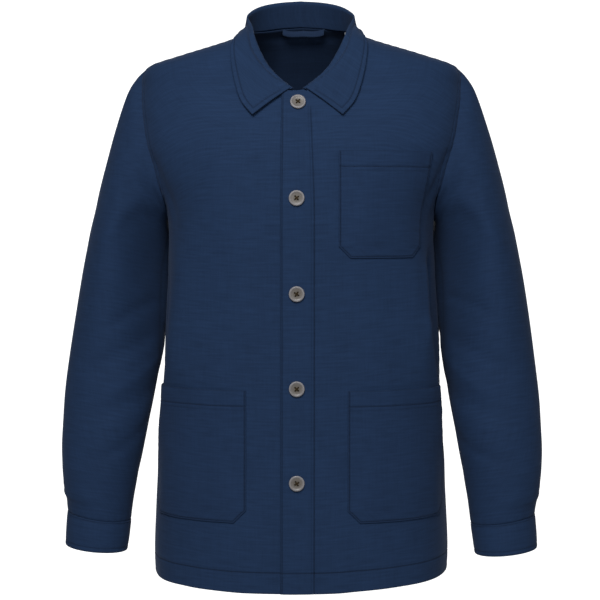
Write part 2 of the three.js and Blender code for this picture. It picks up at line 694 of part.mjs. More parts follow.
function collar() {
  const half = [];
  for (let column = 0; column <= COLLAR_COLUMNS; column += 1) {
    half.push(collarSection(mix(COLLAR_START, BACK_MARK, column / COLLAR_COLUMNS)));
  }
  const mirrored = half.slice(0, -1).map((section) => (
    section.map((point) => new THREE.Vector3(-point.x, point.y, point.z))));
  const lines = [...half, ...mirrored.reverse()];
  return wall(gridNormals(lines), COLLAR_CLOTH);
}

// A patch pocket on a front, with its two lower corners cut off
function pocket(shape, side) {
  const seat = CLOTH / 2 + POCKET_SEAT + POCKET_CLOTH / 2;
  const heights = [shape.bottom, shape.bottom + shape.chamfer];
  for (let row = 1; row < POCKET_ROWS; row += 1) {
    heights.push(mix(shape.bottom + shape.chamfer, shape.top, row / (POCKET_ROWS - 1)));
  }
  const grid = heights.map((height) => {
    const share = (height - shape.bottom) / (shape.top - shape.bottom);
    const width = mix(shape.bottomWidth, shape.topWidth, share);
    const inset = height === shape.bottom ? shape.chamfer : 0;
    const line = [];
    for (let column = 0; column <= POCKET_COLUMNS; column += 1) {
      const distance = mix(shape.inner + inset, shape.inner + width - inset, column / POCKET_COLUMNS);
      const angle = side * angleAtDistance(distance, height);
      const under = side > 0 ? overlapLift(plainBodyPoint(angle, height).x) : 0;
      line.push(bodyCloth(angle, height, seat + under));
    }
    return line;
  });
  return wall(grid, POCKET_CLOTH);
}

function solidFrom(geometry) {
  const plain = geometry.clone();
  plain.deleteAttribute('normal');
  plain.deleteAttribute('uv');
  const merged = mergeVertices(plain, 1e-4);
  return new wasm.Manifold(new wasm.Mesh({
    numProp: 3,
    vertProperties: new Float32Array(merged.getAttribute('position').array),
    triVerts: new Uint32Array(merged.getIndex().array),
  }));
}

function geometryOf(solid) {
  const mesh = solid.getMesh();
  return geometryFrom([...mesh.vertProperties], [...mesh.triVerts]);
}

// A dished button whose axis is +Z, with its flat back at 0
function buttonGeometry() {
  const top = BUTTON_THICKNESS;
  const profile = [
    new THREE.Vector2(0, 0),
    new THREE.Vector2(BUTTON_RADIUS - 1, 0),
    new THREE.Vector2(BUTTON_RADIUS, top * 0.45),
    new THREE.Vector2(BUTTON_RADIUS - 0.5, top * 0.9),
    new THREE.Vector2(BUTTON_RADIUS - BUTTON_RIM, top),
    new THREE.Vector2(BUTTON_RADIUS - 2 * BUTTON_RIM, top - BUTTON_DISH),
    new THREE.Vector2(0, top - BUTTON_DISH),
  ];
  const disc = new THREE.LatheGeometry(profile, BUTTON_SIDES).rotateX(Math.PI / 2);
  let solid = solidFrom(facingOut(mergeVertices(stripped(disc), 1e-4)));
  for (const x of [-BUTTON_HOLE_SPREAD, BUTTON_HOLE_SPREAD]) {
    for (const y of [-BUTTON_HOLE_SPREAD, BUTTON_HOLE_SPREAD]) {
      const hole = new THREE.CylinderGeometry(BUTTON_HOLE_RADIUS, BUTTON_HOLE_RADIUS, 4 * top, HOLE_SIDES)
        .rotateX(Math.PI / 2).translate(x, y, 0);
      solid = solid.subtract(solidFrom(facingOut(mergeVertices(stripped(hole), 1e-4))));
    }
  }
  return geometryOf(solid);
}

function stripped(geometry) {
  geometry.deleteAttribute('normal');
  geometry.deleteAttribute('uv');
  return geometry;
}

// A point of the back neck seam, from -1 at one end of the loop to 1 at the other end
function backNeckPoint(share) {
  const point = neckEdge(BACK_MARK - Math.abs(share) * LOOP_SPAN);
  if (share < 0) point.x = -point.x;
  return point;
}

// The tape loop that hangs from the back of the neck seam by its two ends
function hangerLoop() {
  const lines = [1, 0].map((down) => {
    const line = [];
    for (let column = 0; column <= LOOP_COLUMNS; column += 1) {
      const share = mix(-1, 1, column / LOOP_COLUMNS);
      const hang = LOOP_DROP * (1 - share ** 4);
      const shift = new THREE.Vector3(0, -TAPE_SETBACK, TAPE_RISE - hang - down * LOOP_TAPE);
      line.push(backNeckPoint(share).add(shift));
    }
    return line;
  });
  return wall(gridNormals(lines), TAPE_CLOTH);
}

// The small blank tab beside the loop
function neckTab() {
  const point = neckEdge(TAB_MARK);
  const inward = new THREE.Vector3(-point.x, -point.y, 0).normalize();
  const across = new THREE.Vector3(0, 0, 1).cross(inward);
  const lines = [0, 1].map((down) => [-0.5, 0.5].map((share) => point.clone()
    .addScaledVector(inward, TAPE_SETBACK)
    .addScaledVector(across, share * TAB_WIDTH)
    .add(new THREE.Vector3(0, 0, TAPE_RISE - down * TAB_LENGTH))));
  return wall(gridNormals(lines), TAPE_CLOTH);
}

function cloth(color) {
  return new THREE.MeshStandardMaterial({ color, roughness: 0.85, metalness: 0 });
}

const group = new THREE.Group();

function add(name, geometry, material) {
  const mesh = new THREE.Mesh(geometry, material);
  mesh.name = name;
  group.add(mesh);
  return mesh;
}

const navy = 0x243755;
const navyCollar = 0x283d5e;

add('front_left', frontPanel(1), cloth(navy));
add('front_right', frontPanel(-1), cloth(navy));
add('back', backPanel(), cloth(navy));
for (const [name, mirror] of [['left', false], ['right', true]]) {
  add(`sleeve_${name}`, wall(sleevePanel(), CLOTH, { tube: true, mirror }), cloth(navy));
  add(`cuff_${name}`, wall(cuffBand(), CUFF_CLOTH, { tube: true, mirror }), cloth(navy));
}
add('collar', collar(), cloth(navyCollar));
add('chest_pocket', pocket(CHEST_POCKET, 1), cloth(navy));
add('lower_pocket_left', pocket(LOWER_POCKET, 1), cloth(navy));
add('lower_pocket_right', pocket(LOWER_POCKET, -1), cloth(navy));
add('hanger_loop', hangerLoop(), cloth(navy));
add('neck_tab', neckTab(), cloth(0xd8dbe2));

BUTTON_HEIGHTS.forEach((height, place) => {
  const { point, normal } = bodyCloth(0, height, OVERLAP_LIFT + CLOTH / 2 + GAP);
  const horn = new THREE.MeshStandardMaterial({ color: 0xa39a8c, roughness: 0.4, metalness: 0 });
  const button = add(`button_${place + 1}`, buttonGeometry(), horn);
  button.position.copy(point);
  button.quaternion.setFromUnitVectors(new THREE.Vector3(0, 0, 1), normal);
});

export default group;
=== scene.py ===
import math

import bmesh
import bpy
import numpy as np
from mathutils import Matrix, Vector


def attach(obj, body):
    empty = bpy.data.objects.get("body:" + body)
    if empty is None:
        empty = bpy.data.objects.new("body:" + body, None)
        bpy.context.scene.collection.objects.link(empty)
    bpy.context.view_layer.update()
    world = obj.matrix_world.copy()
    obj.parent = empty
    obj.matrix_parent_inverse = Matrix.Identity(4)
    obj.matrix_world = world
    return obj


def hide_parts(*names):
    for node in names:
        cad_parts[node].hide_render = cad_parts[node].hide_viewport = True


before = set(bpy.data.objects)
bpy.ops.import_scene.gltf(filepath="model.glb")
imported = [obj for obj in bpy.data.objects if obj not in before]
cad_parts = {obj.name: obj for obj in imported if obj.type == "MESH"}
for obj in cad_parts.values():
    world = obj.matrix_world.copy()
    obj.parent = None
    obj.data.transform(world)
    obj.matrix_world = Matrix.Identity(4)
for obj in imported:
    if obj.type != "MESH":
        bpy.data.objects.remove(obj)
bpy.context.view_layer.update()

RADIANS = math.pi / 180
SIDES = (("left", 1), ("right", -1))

# Sizes shared with the part's source
GAP = 0.3
HEM = -724
ARMPIT = -250
ARMHOLE_TOP = -47
NECK_FRONT = -84
NECK_BACK = 12
OVERLAP = 21
OVERLAP_RAMP = (44, 78)
OVERLAP_LIFT = 2.25
SEWN_CLOTH = 1.6
ARMPIT_ROW = 12
ROW_HEIGHT = (ARMPIT - HEM) / ARMPIT_ROW
NECK_ROW_HEIGHT = 26

# Shells of cloth that show, a little thinner than the solids
CLOTH = 1.2
COLLAR_CLOTH = 2.0
CUFF_CLOTH = 1.8
POCKET_CLOTH = 1.1
TAPE_CLOTH = 0.9


def table(names, *rows):
    """A table of named columns as arrays."""
    return {name: np.array([row[place] for row in rows], float)
            for place, name in enumerate(names.split())}


# Level sections of the body
BODY = table(
    "height half_width front back",
    (-724, 195, 140, 128),
    (-690, 195.7, 140, 126),
    (-640, 193.5, 140, 121),
    (-578, 190.7, 139, 114),
    (-500, 187.3, 139, 108),
    (-400, 184, 139, 106),
    (-300, 178, 140, 112),
    (-255, 176.5, 140, 117),
    (-225, 182, 138.5, 120),
    (-190, 198, 135, 123),
    (-150, 211.5, 128, 124),
    (-110, 216, 114, 118),
    (-75, 214, 98, 108),
    (-47, 204, 89, 98),
    (-33, 165.5, 83, 91),
    (-11, 92.5, 70, 80),
    (0, 74, 66, 76),
    (6, 66, 60, 69),
    (12, 60, 56, 62),
)
FRONT_SQUARENESS = 2.7
BACK_SQUARENESS = 2.3

NECKLINE = table(
    "mark angle height",
    (0, -13, -84),
    (1, 0, -84),
    (2, 15, -76),
    (3, 27, -59),
    (4, 37, -39),
    (5, 46, -19),
    (6, 58, -6.5),
    (7, 73, -1.5),
    (8, 87.5, 0),
    (9, 110, 2),
    (10, 132, 5.5),
    (11, 155, 10),
    (12, 180, 12),
)
SHOULDER_MARK = 7
BACK_MARK = 12

# The armhole seen from the side
FRONT_REACH = 63
FRONT_LEAN = 11
BACK_REACH = 72
BACK_LEAN = 4
SHOULDER_TURN = 25

# Rows of a panel above the armpit, and the armhole's turns at the armpit and where the chest rows end
FRONT = {"chest": 7, "neck": 6, "top": NECK_FRONT, "mark": 0, "armpit": 180, "corner": 100}
BACK = {"chest": 8, "neck": 5, "top": NECK_BACK, "mark": BACK_MARK, "armpit": -180, "corner": -50}

SLEEVE = table(
    "ring outer_x outer_z inner_x inner_z front back middle lean",
    (0, 208, -47, 179, -251, 66, 72, 0, 0),
    (0.5, 219, -56.5, 180, -256, 67, 72, 0, 5),
    (1, 230.5, -75, 180, -263, 67, 71, 0, 12),
    (2, 249.5, -128, 177, -282, 67, 70, 0, 27),
    (3, 264.5, -182, 176.5, -305, 66, 69, 0, 36),
    (4, 277, -236, 177.5, -330, 65, 68, -1, 40),
    (5, 289.2, -290, 179.5, -360, 64, 67, -3, 38),
    (6, 301, -357, 184.5, -398, 62, 65, -6, 28),
    (7, 310.7, -424, 191.5, -444, 60, 62, -11, 12),
    (8, 317.7, -491, 201.4, -500, 57, 58, -19, 0),
    (9, 320.4, -556, 213.8, -563, 53, 53, -30, 0),
    (10, 318, -595, 220.8, -602, 49, 48, -37, 0),
    (11, 310.7, -637, 227.5, -650, 43, 42, -43, 0),
)
SLEEVE_END = 11
ARMHOLE_FADE = 3.5
SLEEVE_REACH = 0.4
SLEEVE_SINK = 0.35
TURN_LENGTH = 1.1
RING_LENGTH = 58

CUFF = table(
    "ring outer_x outer_z inner_x inner_z front back middle lean",
    (0, 311, -637.6, 227.4, -650.6, 43.3, 42.3, -43.1, 0),
    (1, 312.4, -659, 229.6, -670, 44, 43, -46, 0),
    (2, 313.3, -681, 232.4, -690, 43.5, 42.5, -48.5, 0),
)
CUFF_END = 2
CUFF_HEIGHT = 43
LAST_RING_LENGTH = 44

COLLAR = table(
    "mark fold_x fold_y fold_z edge_x edge_y edge_z",
    (1.25, 7, -104.5, -80.5, 57.6, -121, -114.6),
    (2, 22, -93.5, -68, 72.5, -110, -97),
    (3, 39, -81.5, -51.5, 81, -100, -74),
    (4, 51.5, -71, -30, 86, -88, -51),
    (5, 60, -56, -10, 87.5, -72, -31),
    (6, 64, -33, 3, 83.5, -48, -15),
    (7, 68, -12, 12, 77.5, -18, -5),
    (8, 71.5, 6, 22, 75.5, 16, -2.5),
    (9, 66, 28, 31, 73.5, 48, -1),
    (10, 52, 47, 40, 60, 71, 1),
    (11, 29, 59, 46, 32, 81, 3),
    (12, 0, 63, 48.3, 0, 84, 4),
)
COLLAR_START = 1.25
COLLAR_RISE = 1.5
COLLAR_CLEARANCE = 4.2
COLLAR_LEAN = 4
FOLD_ROLL = 3.4
ROLL_ANGLES = (165, 115, 65, 20)
LEAF_BULGE = 2
LEAF_INSET = 3.2
LEAF_FREE = 8

CHEST_POCKET = {"inner": 53, "top_width": 126, "bottom_width": 117,
                "top": -161, "bottom": -297, "chamfer": 15}
LOWER_POCKET = {"inner": 65, "top_width": 158, "bottom_width": 157,
                "top": -466, "bottom": -636, "chamfer": 16}
POCKETS = (("chest_pocket", CHEST_POCKET, 1), ("lower_pocket_left", LOWER_POCKET, 1),
           ("lower_pocket_right", LOWER_POCKET, -1))

# How far the hem lies from level: higher at the sides and at the wearer's left, lower in front
HEM_TILT = 2.7
HEM_DIP = 7.5
HEM_RISE = 4

BUTTON_HEIGHTS = (-100, -221, -342, -463, -584)
BUTTON_THICKNESS = 3.2
BUTTON_HOLE_SPREAD = 2.05

# Largest folds, as in the solids: side 1 is the wearer's left, -1 the right and 0 both.
# Angles run from the front centre, 0, past the side seam, 90, to the back centre, 180.
BODY_FOLDS = table(
    "side angle height to_angle to_height width rise end",
    (0, 60, -355, 61, -410, 17, 4.5, 58),
    (0, 61, -410, 72, -520, 18, 3.5, 58),
    (0, 76, -350, 77, -400, 20, -4.5, 58),
    (0, 77, -400, 86, -510, 22, -2.2, 58),
    (1, 118, -230, 124, -380, 19, 4, 58),
    (-1, 116, -250, 122, -430, 20, 4.5, 58),
    (1, 134, -300, 131, -520, 24, -3, 58),
    (-1, 137, -330, 133, -560, 23, -3.5, 58),
)

# Smaller creases
BODY_CREASES = table(
    "side angle height to_angle to_height width rise end",
    (1, 64, -322, 62, -385, 6, 3.0, 20),
    (1, 62, -385, 73, -495, 6, 2.4, 16),
    (1, 71, -318, 70.5, -390, 9, -7, 20),
    (1, 71, -390, 81, -490, 9, -5, 16),
    (1, 69, -168, 65, -214, 5, -1.5, 12),
    (1, 73, -176, 69, -228, 6, 1.1, 14),
    (-1, 68, -180, 63, -236, 8, -1.5, 16),
    (-1, 73, -190, 68, -246, 8, 1.0, 16),
    (1, 33, -262, 29, -420, 20, 1.1, 50),
    (-1, 36, -240, 31, -400, 22, 1.2, 50),
    (1, 45, -352, 48, -452, 13, -1.2, 30),
    (-1, 43, -372, 47, -458, 14, -1.1, 30),
    (1, 24, -650, 23, -722, 15, 1.0, 24),
    (1, 47, -655, 49, -722, 17, -1.2, 24),
    (-1, 28, -648, 27, -722, 16, 1.1, 24),
    (-1, 51, -655, 54, -722, 16, -1.3, 24),
    (0, 82, -560, 84, -720, 18, 1.6, 40),
    (1, 101, -560, 99, -722, 17, 2.2, 40),
    (-1, 104, -540, 101, -722, 18, 2.0, 40),
    (1, 121, -600, 119, -722, 20, -2.0, 40),
    (-1, 125, -580, 122, -722, 21, -2.2, 40),
    (1, 108, -150, 116, -262, 11, -3.0, 22),
    (-1, 107, -158, 117, -276, 12, -3.2, 22),
    (1, 150, -70, 128, -196, 26, 2.0, 44),
    (-1, 152, -64, 127, -205, 27, 2.2, 44),
    (1, 112, -402, 152, -424, 12, -1.7, 30),
    (-1, 110, -410, 149, -438, 12, -1.9, 30),
    (1, 110, -436, 143, -452, 11, 1.3, 26),
    (-1, 109, -446, 146, -468, 11, 1.4, 26),
    (1, 166, -420, 160, -560, 20, 1.5, 60),
    (-1, 168, -450, 161, -600, 20, 1.4, 60),
)
FOLD_RADIUS = 165

SLEEVE_FOLDS = table(
    "side turn ring to_turn to_ring width rise end",
    (0, 150, 6.4, 80, 7.2, 14, -2.6, 22),
    (0, 165, 7.6, 95, 8.1, 13, -2.2, 22),
    (0, -150, 6.2, -90, 7.0, 15, -2.4, 22),
    (0, 120, 2.2, 70, 4.4, 16, 2.5, 22),
    (0, -60, 10.3, 70, 10.4, 11, 1.8, 22),
)
SLEEVE_CREASES = table(
    "side turn ring to_turn to_ring width rise end",
    (1, 140, 0.6, 100, 2.4, 15, -1.1, 24),
    (-1, 138, 0.7, 102, 2.6, 16, -1.0, 24),
    (1, 152, 1.5, 112, 3.4, 14, -0.9, 24),
    (-1, 150, 1.7, 115, 3.3, 15, -1.0, 24),
    (1, 158, 5.2, 104, 5.9, 8, -1.5, 20),
    (-1, 160, 5.4, 110, 6.1, 8, -1.6, 20),
    (1, 166, 6.9, 118, 7.5, 7, 1.3, 18),
    (-1, 164, 7.0, 112, 7.6, 7, 1.2, 18),
    (1, 160, 8.6, 108, 9.0, 8, -1.6, 18),
    (-1, 162, 8.4, 112, 8.9, 8, -1.5, 18),
    (1, -140, 0.6, -92, 2.3, 11, -2.2, 20),
    (-1, -142, 0.7, -95, 2.4, 11, -2.4, 20),
    (1, -152, 7.6, -100, 8.2, 9, -1.6, 20),
    (-1, -150, 7.4, -96, 8.0, 9, -1.7, 20),
    (1, 46, 4.6, 36, 7.6, 24, 1.2, 60),
    (-1, 42, 4.2, 34, 7.2, 24, 1.3, 60),
    (1, 8, 10.30, 66, 10.42, 4.5, -1.1, 12),
    (-1, 5, 10.28, 58, 10.40, 4.5, -1.2, 12),
    (1, 22, 10.62, 84, 10.70, 4.5, -1.0, 12),
    (-1, 16, 10.60, 78, 10.68, 4.5, -1.1, 12),
    (1, -70, 10.35, -20, 10.42, 5, -1.0, 12),
    (-1, -76, 10.33, -26, 10.44, 5, -1.1, 12),
)

# Lines of stitching: their distances from the edge or seam that they follow
EDGE_STITCH = 2.3
PLACKET_STITCH = 43.3
PLACKET_SECOND = 39.8
HEM_STITCH = 27
ARMHOLE_STITCH = 8
SHOULDER_STITCH = 6.5
SIDE_STITCH = 6.5
POCKET_EDGE_STITCH = 2.2
POCKET_HEM_STITCH = 20
POCKET_HEM_SECOND = 25
COLLAR_STITCH = 6.5
CUFF_TOP_STITCH = 2.4
CUFF_END_STITCH = 6
SEAM_DEPTH = 0.5
# Painted shade: how much darker the inner face of the body's cloth is, and the collar's stand behind the
# neck
PAINTED_INSIDE_SHADE = 1.3
PAINTED_STAND_SHADE = 0.75
STITCH_PITCH = 3.1
STITCH_LENGTH = 2.3
STITCH_WIDTH = 0.6
STITCH_HEIGHT = 0.42


def mix(start, end, share):
    return start + (end - start) * share


def smooth_step(start, end, value):
    share = np.clip((value - start) / (end - start), 0, 1)
    return share * share * (3 - 2 * share)


def read_table(columns, key, value):
    """The table between its rows, along a smooth curve that passes through each row."""
    keys = columns[key]
    last = len(keys) - 1
    row = np.clip(np.searchsorted(keys, value) - 1, 0, last - 1)
    before = np.maximum(row - 1, 0)
    after = np.minimum(row + 2, last)
    span = keys[row + 1] - keys[row]
    share = np.clip((value - keys[row]) / span, 0, 1)
    square = share ** 2
    cube = share ** 3
    result = {}
    for name, column in columns.items():
        start_slope = (column[row + 1] - column[before]) / (keys[row + 1] - keys[before]) * span
        end_slope = (column[after] - column[row]) / (keys[after] - keys[row]) * span
        rise = column[row + 1] - column[row]
        result[name] = (column[row] + start_slope * (share - 2 * square + cube)
                        + rise * (3 * square - 2 * cube) + end_slope * (cube - square))
    return result


def unit(vectors):
    return vectors / np.linalg.norm(vectors, axis=-1, keepdims=True)


def arc_lengths(points, axis=0):
    """Lengths walked over points along one axis of their array."""
    steps = np.linalg.norm(np.diff(points, axis=axis), axis=-1)
    zero = np.zeros_like(np.take(steps, [0], axis=axis))
    return np.concatenate([zero, np.cumsum(steps, axis=axis)], axis=axis)


def fold_rise(across, along, start, end, width, rise, reach_past):
    """Height of one soft fold that runs along a straight line, at points of the cloth."""
    run = np.array(end) - np.array(start)
    length = np.hypot(*run)
    reach = ((across - start[0]) * run[0] + (along - start[1]) * run[1]) / length
    beside = ((across - start[0]) * run[1] - (along - start[1]) * run[0]) / length
    beyond = np.maximum(np.maximum(-reach, reach - length), 0)
    return rise * np.exp(-(beside / width) ** 2 - (beyond / reach_past) ** 2)


def body_fold_height(angle, height):
    turned = np.where(angle > 180, angle - 360, angle)
    side = np.where(turned >= 0, 1, -1)
    across = np.abs(turned) * RADIANS * FOLD_RADIUS
    total = np.zeros(np.shape(across))
    for folds in (BODY_FOLDS, BODY_CREASES):
        for row in range(len(folds["rise"])):
            fold = {name: column[row] for name, column in folds.items()}
            start = (fold["angle"] * RADIANS * FOLD_RADIUS, fold["height"])
            end = (fold["to_angle"] * RADIANS * FOLD_RADIUS, fold["to_height"])
            here = (fold["side"] == 0) | (fold["side"] == side)
            total += here * fold_rise(across, height, start, end, fold["width"], fold["rise"],
                                      fold["end"])
    total = total * smooth_step(0, 14, 180 - np.abs(turned))
    return total + cloth_waves(190 * np.sin(angle * RADIANS) + 110 * np.cos(angle * RADIANS), height)


def cloth_waves(across, along):
    """Slight unevenness of a hanging cloth, less than a millimetre."""
    return (0.32 * np.sin(across / 23 + 1.3 * np.sin(along / 61))
            + 0.26 * np.sin(along / 37 + 1.1 * np.sin(across / 29 + 2))
            + 0.16 * np.sin(across / 9.5 + along / 13 + 1.7 * np.sin(along / 43)))


def plain_body(angle, height):
    section = read_table(BODY, "height", height)
    side = np.sin(angle * RADIANS)
    ahead = np.cos(angle * RADIANS)
    depth = np.where(ahead > 0, section["front"], section["back"])
    power = np.where(ahead > 0, FRONT_SQUARENESS, BACK_SQUARENESS)
    total = (np.abs(side) / section["half_width"]) ** power + (np.abs(ahead) / depth) ** power
    radius = total ** (-1 / power)
    return np.stack([radius * side, -radius * ahead, height + 0 * radius], axis=-1)


def surface_normal(surface, angle, height):
    across = surface(angle + 0.5, height) - surface(angle - 0.5, height)
    upward = surface(angle, height + 0.8) - surface(angle, height - 0.8)
    return unit(np.cross(across, upward))


def folded_body(angle, height):
    rise = body_fold_height(angle, height)
    points = plain_body(angle, height) + surface_normal(plain_body, angle, height) * rise[..., None]
    ahead = np.maximum(np.cos(angle * RADIANS), 0)
    shift = HEM_RISE + HEM_TILT * np.sin(angle * RADIANS) - HEM_DIP * ahead ** 2
    points[..., 2] += shift * smooth_step(-600, HEM, height)
    return points


def body_cloth(angle, height, lift=0.0):
    """Points of the body's cloth, raised by lift, with their outward normals."""
    angle = np.asarray(angle, float)
    height = np.asarray(height, float) + 0 * angle
    normal = surface_normal(folded_body, angle, height)
    return folded_body(angle, height) + normal * np.asarray(lift + 0 * angle)[..., None], normal


def angle_at_x(x, height):
    """Angle of the front's cloth that lies at x at a height."""
    section = read_table(BODY, "height", height)
    share = (np.abs(x) / section["half_width"]) ** FRONT_SQUARENESS
    depth = section["front"] * (1 - share) ** (1 / FRONT_SQUARENESS)
    return np.arctan2(x, depth) / RADIANS


def angle_at_distance(distance, height):
    """Angle of the cloth at a distance from the front centre along a level section."""
    angles = np.arange(0, 121, 0.5)
    section = plain_body(angles, np.full(angles.shape, float(height)))
    return np.interp(distance, arc_lengths(section), angles)


def armhole_at(turn):
    wave = np.sin(turn * RADIANS)
    lean = np.sin(2 * turn * RADIANS)
    middle = (ARMHOLE_TOP + ARMPIT) / 2
    height = middle + (ARMHOLE_TOP - middle) * np.cos(turn * RADIANS)
    y = np.where(turn > 0, -(FRONT_REACH * wave - FRONT_LEAN * lean),
                 -(BACK_REACH * wave - BACK_LEAN * lean))
    section = read_table(BODY, "height", height)
    depth = np.where(y < 0, section["front"], section["back"])
    power = np.where(y < 0, FRONT_SQUARENESS, BACK_SQUARENESS)
    x = section["half_width"] * (1 - (np.abs(y) / depth) ** power) ** (1 / power)
    return np.arctan2(x, -y) / RADIANS, height


def neckline_at(mark):
    row = read_table(NECKLINE, "mark", mark)
    return row["angle"], row["height"]


def front_edge_angle(height):
    return -np.arctan2(OVERLAP, read_table(BODY, "height", height)["front"]) / RADIANS


def row_ends(layout, rows):
    """Inner and outer end of each row of a panel: angle, height, angle, height."""
    chest = np.clip((rows - ARMPIT_ROW) / layout["chest"], 0, 1)
    neck = np.clip((rows - ARMPIT_ROW - layout["chest"]) / layout["neck"], 0, 1)
    below = rows <= ARMPIT_ROW
    in_neck = rows > ARMPIT_ROW + layout["chest"]
    level = np.where(below, mix(HEM, ARMPIT, rows / ARMPIT_ROW), mix(ARMPIT, layout["top"], chest))
    neck_angle, neck_height = neckline_at(mix(layout["mark"], SHOULDER_MARK, neck))
    middle = 180 if layout is BACK else front_edge_angle(level)
    turn = np.where(in_neck, mix(layout["corner"], SHOULDER_TURN, neck),
                    mix(layout["armpit"], layout["corner"], chest))
    hole_angle, hole_height = armhole_at(turn)
    return (np.where(in_neck, neck_angle, middle), np.where(in_neck, neck_height, level),
            np.where(below, 90, hole_angle), np.where(below, level, hole_height))


def overlap_lift(x, side):
    """How far the lapped front stands out at x; the right front lies under it."""
    return OVERLAP_LIFT * (1 - smooth_step(*OVERLAP_RAMP, x)) if side > 0 else 0 * x


def line_of(distance, at, width=0.9):
    """1 on a line of stitching and 0 beside it."""
    return np.exp(-((distance - at) / width) ** 2)


def turned_edge(distance, depth=0.45, width=1.1):
    return -depth * np.exp(-(distance / width) ** 2)


def pucker(along, distance, at, size=0.22, wave=13):
    """Small ripples along a line of stitching."""
    ripple = np.sin(along / wave * 2 * math.pi + 1.6 * np.sin(along / wave * 0.83))
    return size * ripple * np.exp(-((distance - at) / 5.5) ** 2)


def panel_surface(layout, rows, near_inner, side):
    """A panel's grid: angle, height and the distances from its inner and outer edge."""
    inner_angle, inner_height, outer_angle, outer_height = (end[:, None] for end in row_ends(layout, rows))
    coarse = np.linspace(0, 1, 80)
    section = plain_body(mix(inner_angle, outer_angle, coarse), mix(inner_height, outer_height, coarse))
    travelled = arc_lengths(section, 1)
    between = int((travelled[:, -1].max() - near_inner[-1] - PANEL_OUTER[-1]) / PANEL_PITCH)
    shares = []
    from_inner = []
    for walked in travelled:
        middle = np.linspace(near_inner[-1], walked[-1] - PANEL_OUTER[-1], between + 2)[1:-1]
        from_inner.append(np.concatenate([near_inner, middle, walked[-1] - PANEL_OUTER[::-1]]))
        shares.append(np.interp(from_inner[-1], walked, coarse))
    shares = np.array(shares)
    from_inner = np.array(from_inner)
    angle = side * mix(inner_angle, outer_angle, shares)
    return angle, mix(inner_height, outer_height, shares), from_inner, travelled[:, -1:] - from_inner


def apart(layout, rows, angle, side):
    """Opens the side and shoulder seams by the gap that sewn pieces keep."""
    shift = GAP / 2 / 150 / RADIANS * side * (1 if layout is BACK else -1)
    angle[rows >= last_row(layout) - 1e-6, :] += shift
    angle[rows <= ARMPIT_ROW, -1] += shift
    return angle


def last_row(layout):
    return ARMPIT_ROW + layout["chest"] + layout["neck"]


def body_rows(layout):
    """Rows of a panel, close together beside the hem, its stitching and the shoulder seam."""
    neck_row = ARMPIT_ROW + layout["chest"]
    near_hem = np.array([0, 0.6, 1.3, 2.2, 3.4, 5.5, 9, 13, 17, 20.5, 23.5, 25.3, 26.2, 27,
                         27.8, 28.7, 30.5, 33.5])
    near_top = np.array([12, 9.5, 8, 7.2, 6.5, 5.8, 5, 3.6, 2.4, 1.4, 0.6, 0])
    skirt = np.arange(37.5, ARMPIT - HEM - 1, PANEL_PITCH)
    chest = np.linspace(ARMPIT_ROW, neck_row, layout["chest"] * 6 + 1)
    neck = np.linspace(neck_row, last_row(layout) - 14 / NECK_ROW_HEIGHT, layout["neck"] * 6)[1:]
    return np.concatenate([near_hem / ROW_HEIGHT, skirt / ROW_HEIGHT, chest, neck,
                           last_row(layout) - near_top / NECK_ROW_HEIGHT])


def sewn_strip(distance, stitch, height):
    """The slight rise of a doubled edge, up to its line of stitching."""
    return height * (1 - smooth_step(stitch - 1.2, stitch + 0.6, distance))


def body_relief(layout, rows, angle, height, outer):
    """Relief, and the darkening of stitching and seams, beside a panel's hem and outer edges: thread colour
    with painted shade in the grooves, and a painted shadow along the cut edges.
    """
    across = np.abs(angle) * RADIANS * FOLD_RADIUS
    above_hem = height - HEM
    from_top = ((last_row(layout) - rows) * NECK_ROW_HEIGHT)[:, None]
    on_armhole = smooth_step(ARMPIT_ROW - 0.1, ARMPIT_ROW + 0.4, rows)[:, None]
    relief = turned_edge(above_hem) + turned_edge(outer, 0.3, 0.9) + turned_edge(from_top, 0.3)
    hem_waves = 0.3 * np.sin((across + 0.7 * above_hem) / 9 * 2 * math.pi)
    relief += hem_waves * (1 - smooth_step(22, 30, above_hem)) * smooth_step(0, 6, above_hem)
    relief += on_armhole * (sewn_strip(outer, ARMHOLE_STITCH, 0.4) + pucker(height, outer, 5, 0.3))
    # Stitch lines darken: the thread's colour, with painted shade in their grooves.
    seam = line_of(above_hem, HEM_STITCH) + 0.6 * on_armhole * line_of(outer, ARMHOLE_STITCH)
    if layout is BACK:
        relief += (1 - on_armhole) * (sewn_strip(outer, SIDE_STITCH, 0.3) + pucker(height, outer, 4))
        relief += pucker(outer, from_top, 1, 0.16)
        seam += (1 - on_armhole) * line_of(outer, SIDE_STITCH)
    else:
        relief += (1 - on_armhole) * pucker(height, outer, 1, 0.16)
        relief += sewn_strip(from_top, SHOULDER_STITCH, 0.3) + pucker(outer, from_top, 4, 0.18)
        seam += line_of(from_top, SHOULDER_STITCH)
    # Painted shadow: dark lines along the panel's outer and top edges.
    side_edge = (0.6 - 0.3 * on_armhole) * line_of(outer, 0, 0.7)
    return relief, np.maximum(seam, np.maximum(side_edge, 0.6 * line_of(from_top, 0, 0.7)))


FRONT_INNER = np.array([0, 0.5, 1.1, 1.7, 2.3, 2.9, 3.7, 5, 7.5, 11, 15, 19, 23, 27, 31, 34.5, 37,
                        38.4, 39.1, 39.8, 40.5, 41.3, 42.1, 42.7, 43.3, 43.9, 44.6, 45.8, 48, 51])
BACK_INNER = np.array([0, 4.3])
PANEL_PITCH = 4.3
PANEL_OUTER = np.array([0, 0.5, 1.1, 1.9, 3, 4.4, 5.6, 6.5, 7.3, 8, 8.7, 9.6, 11, 13.5, 17])


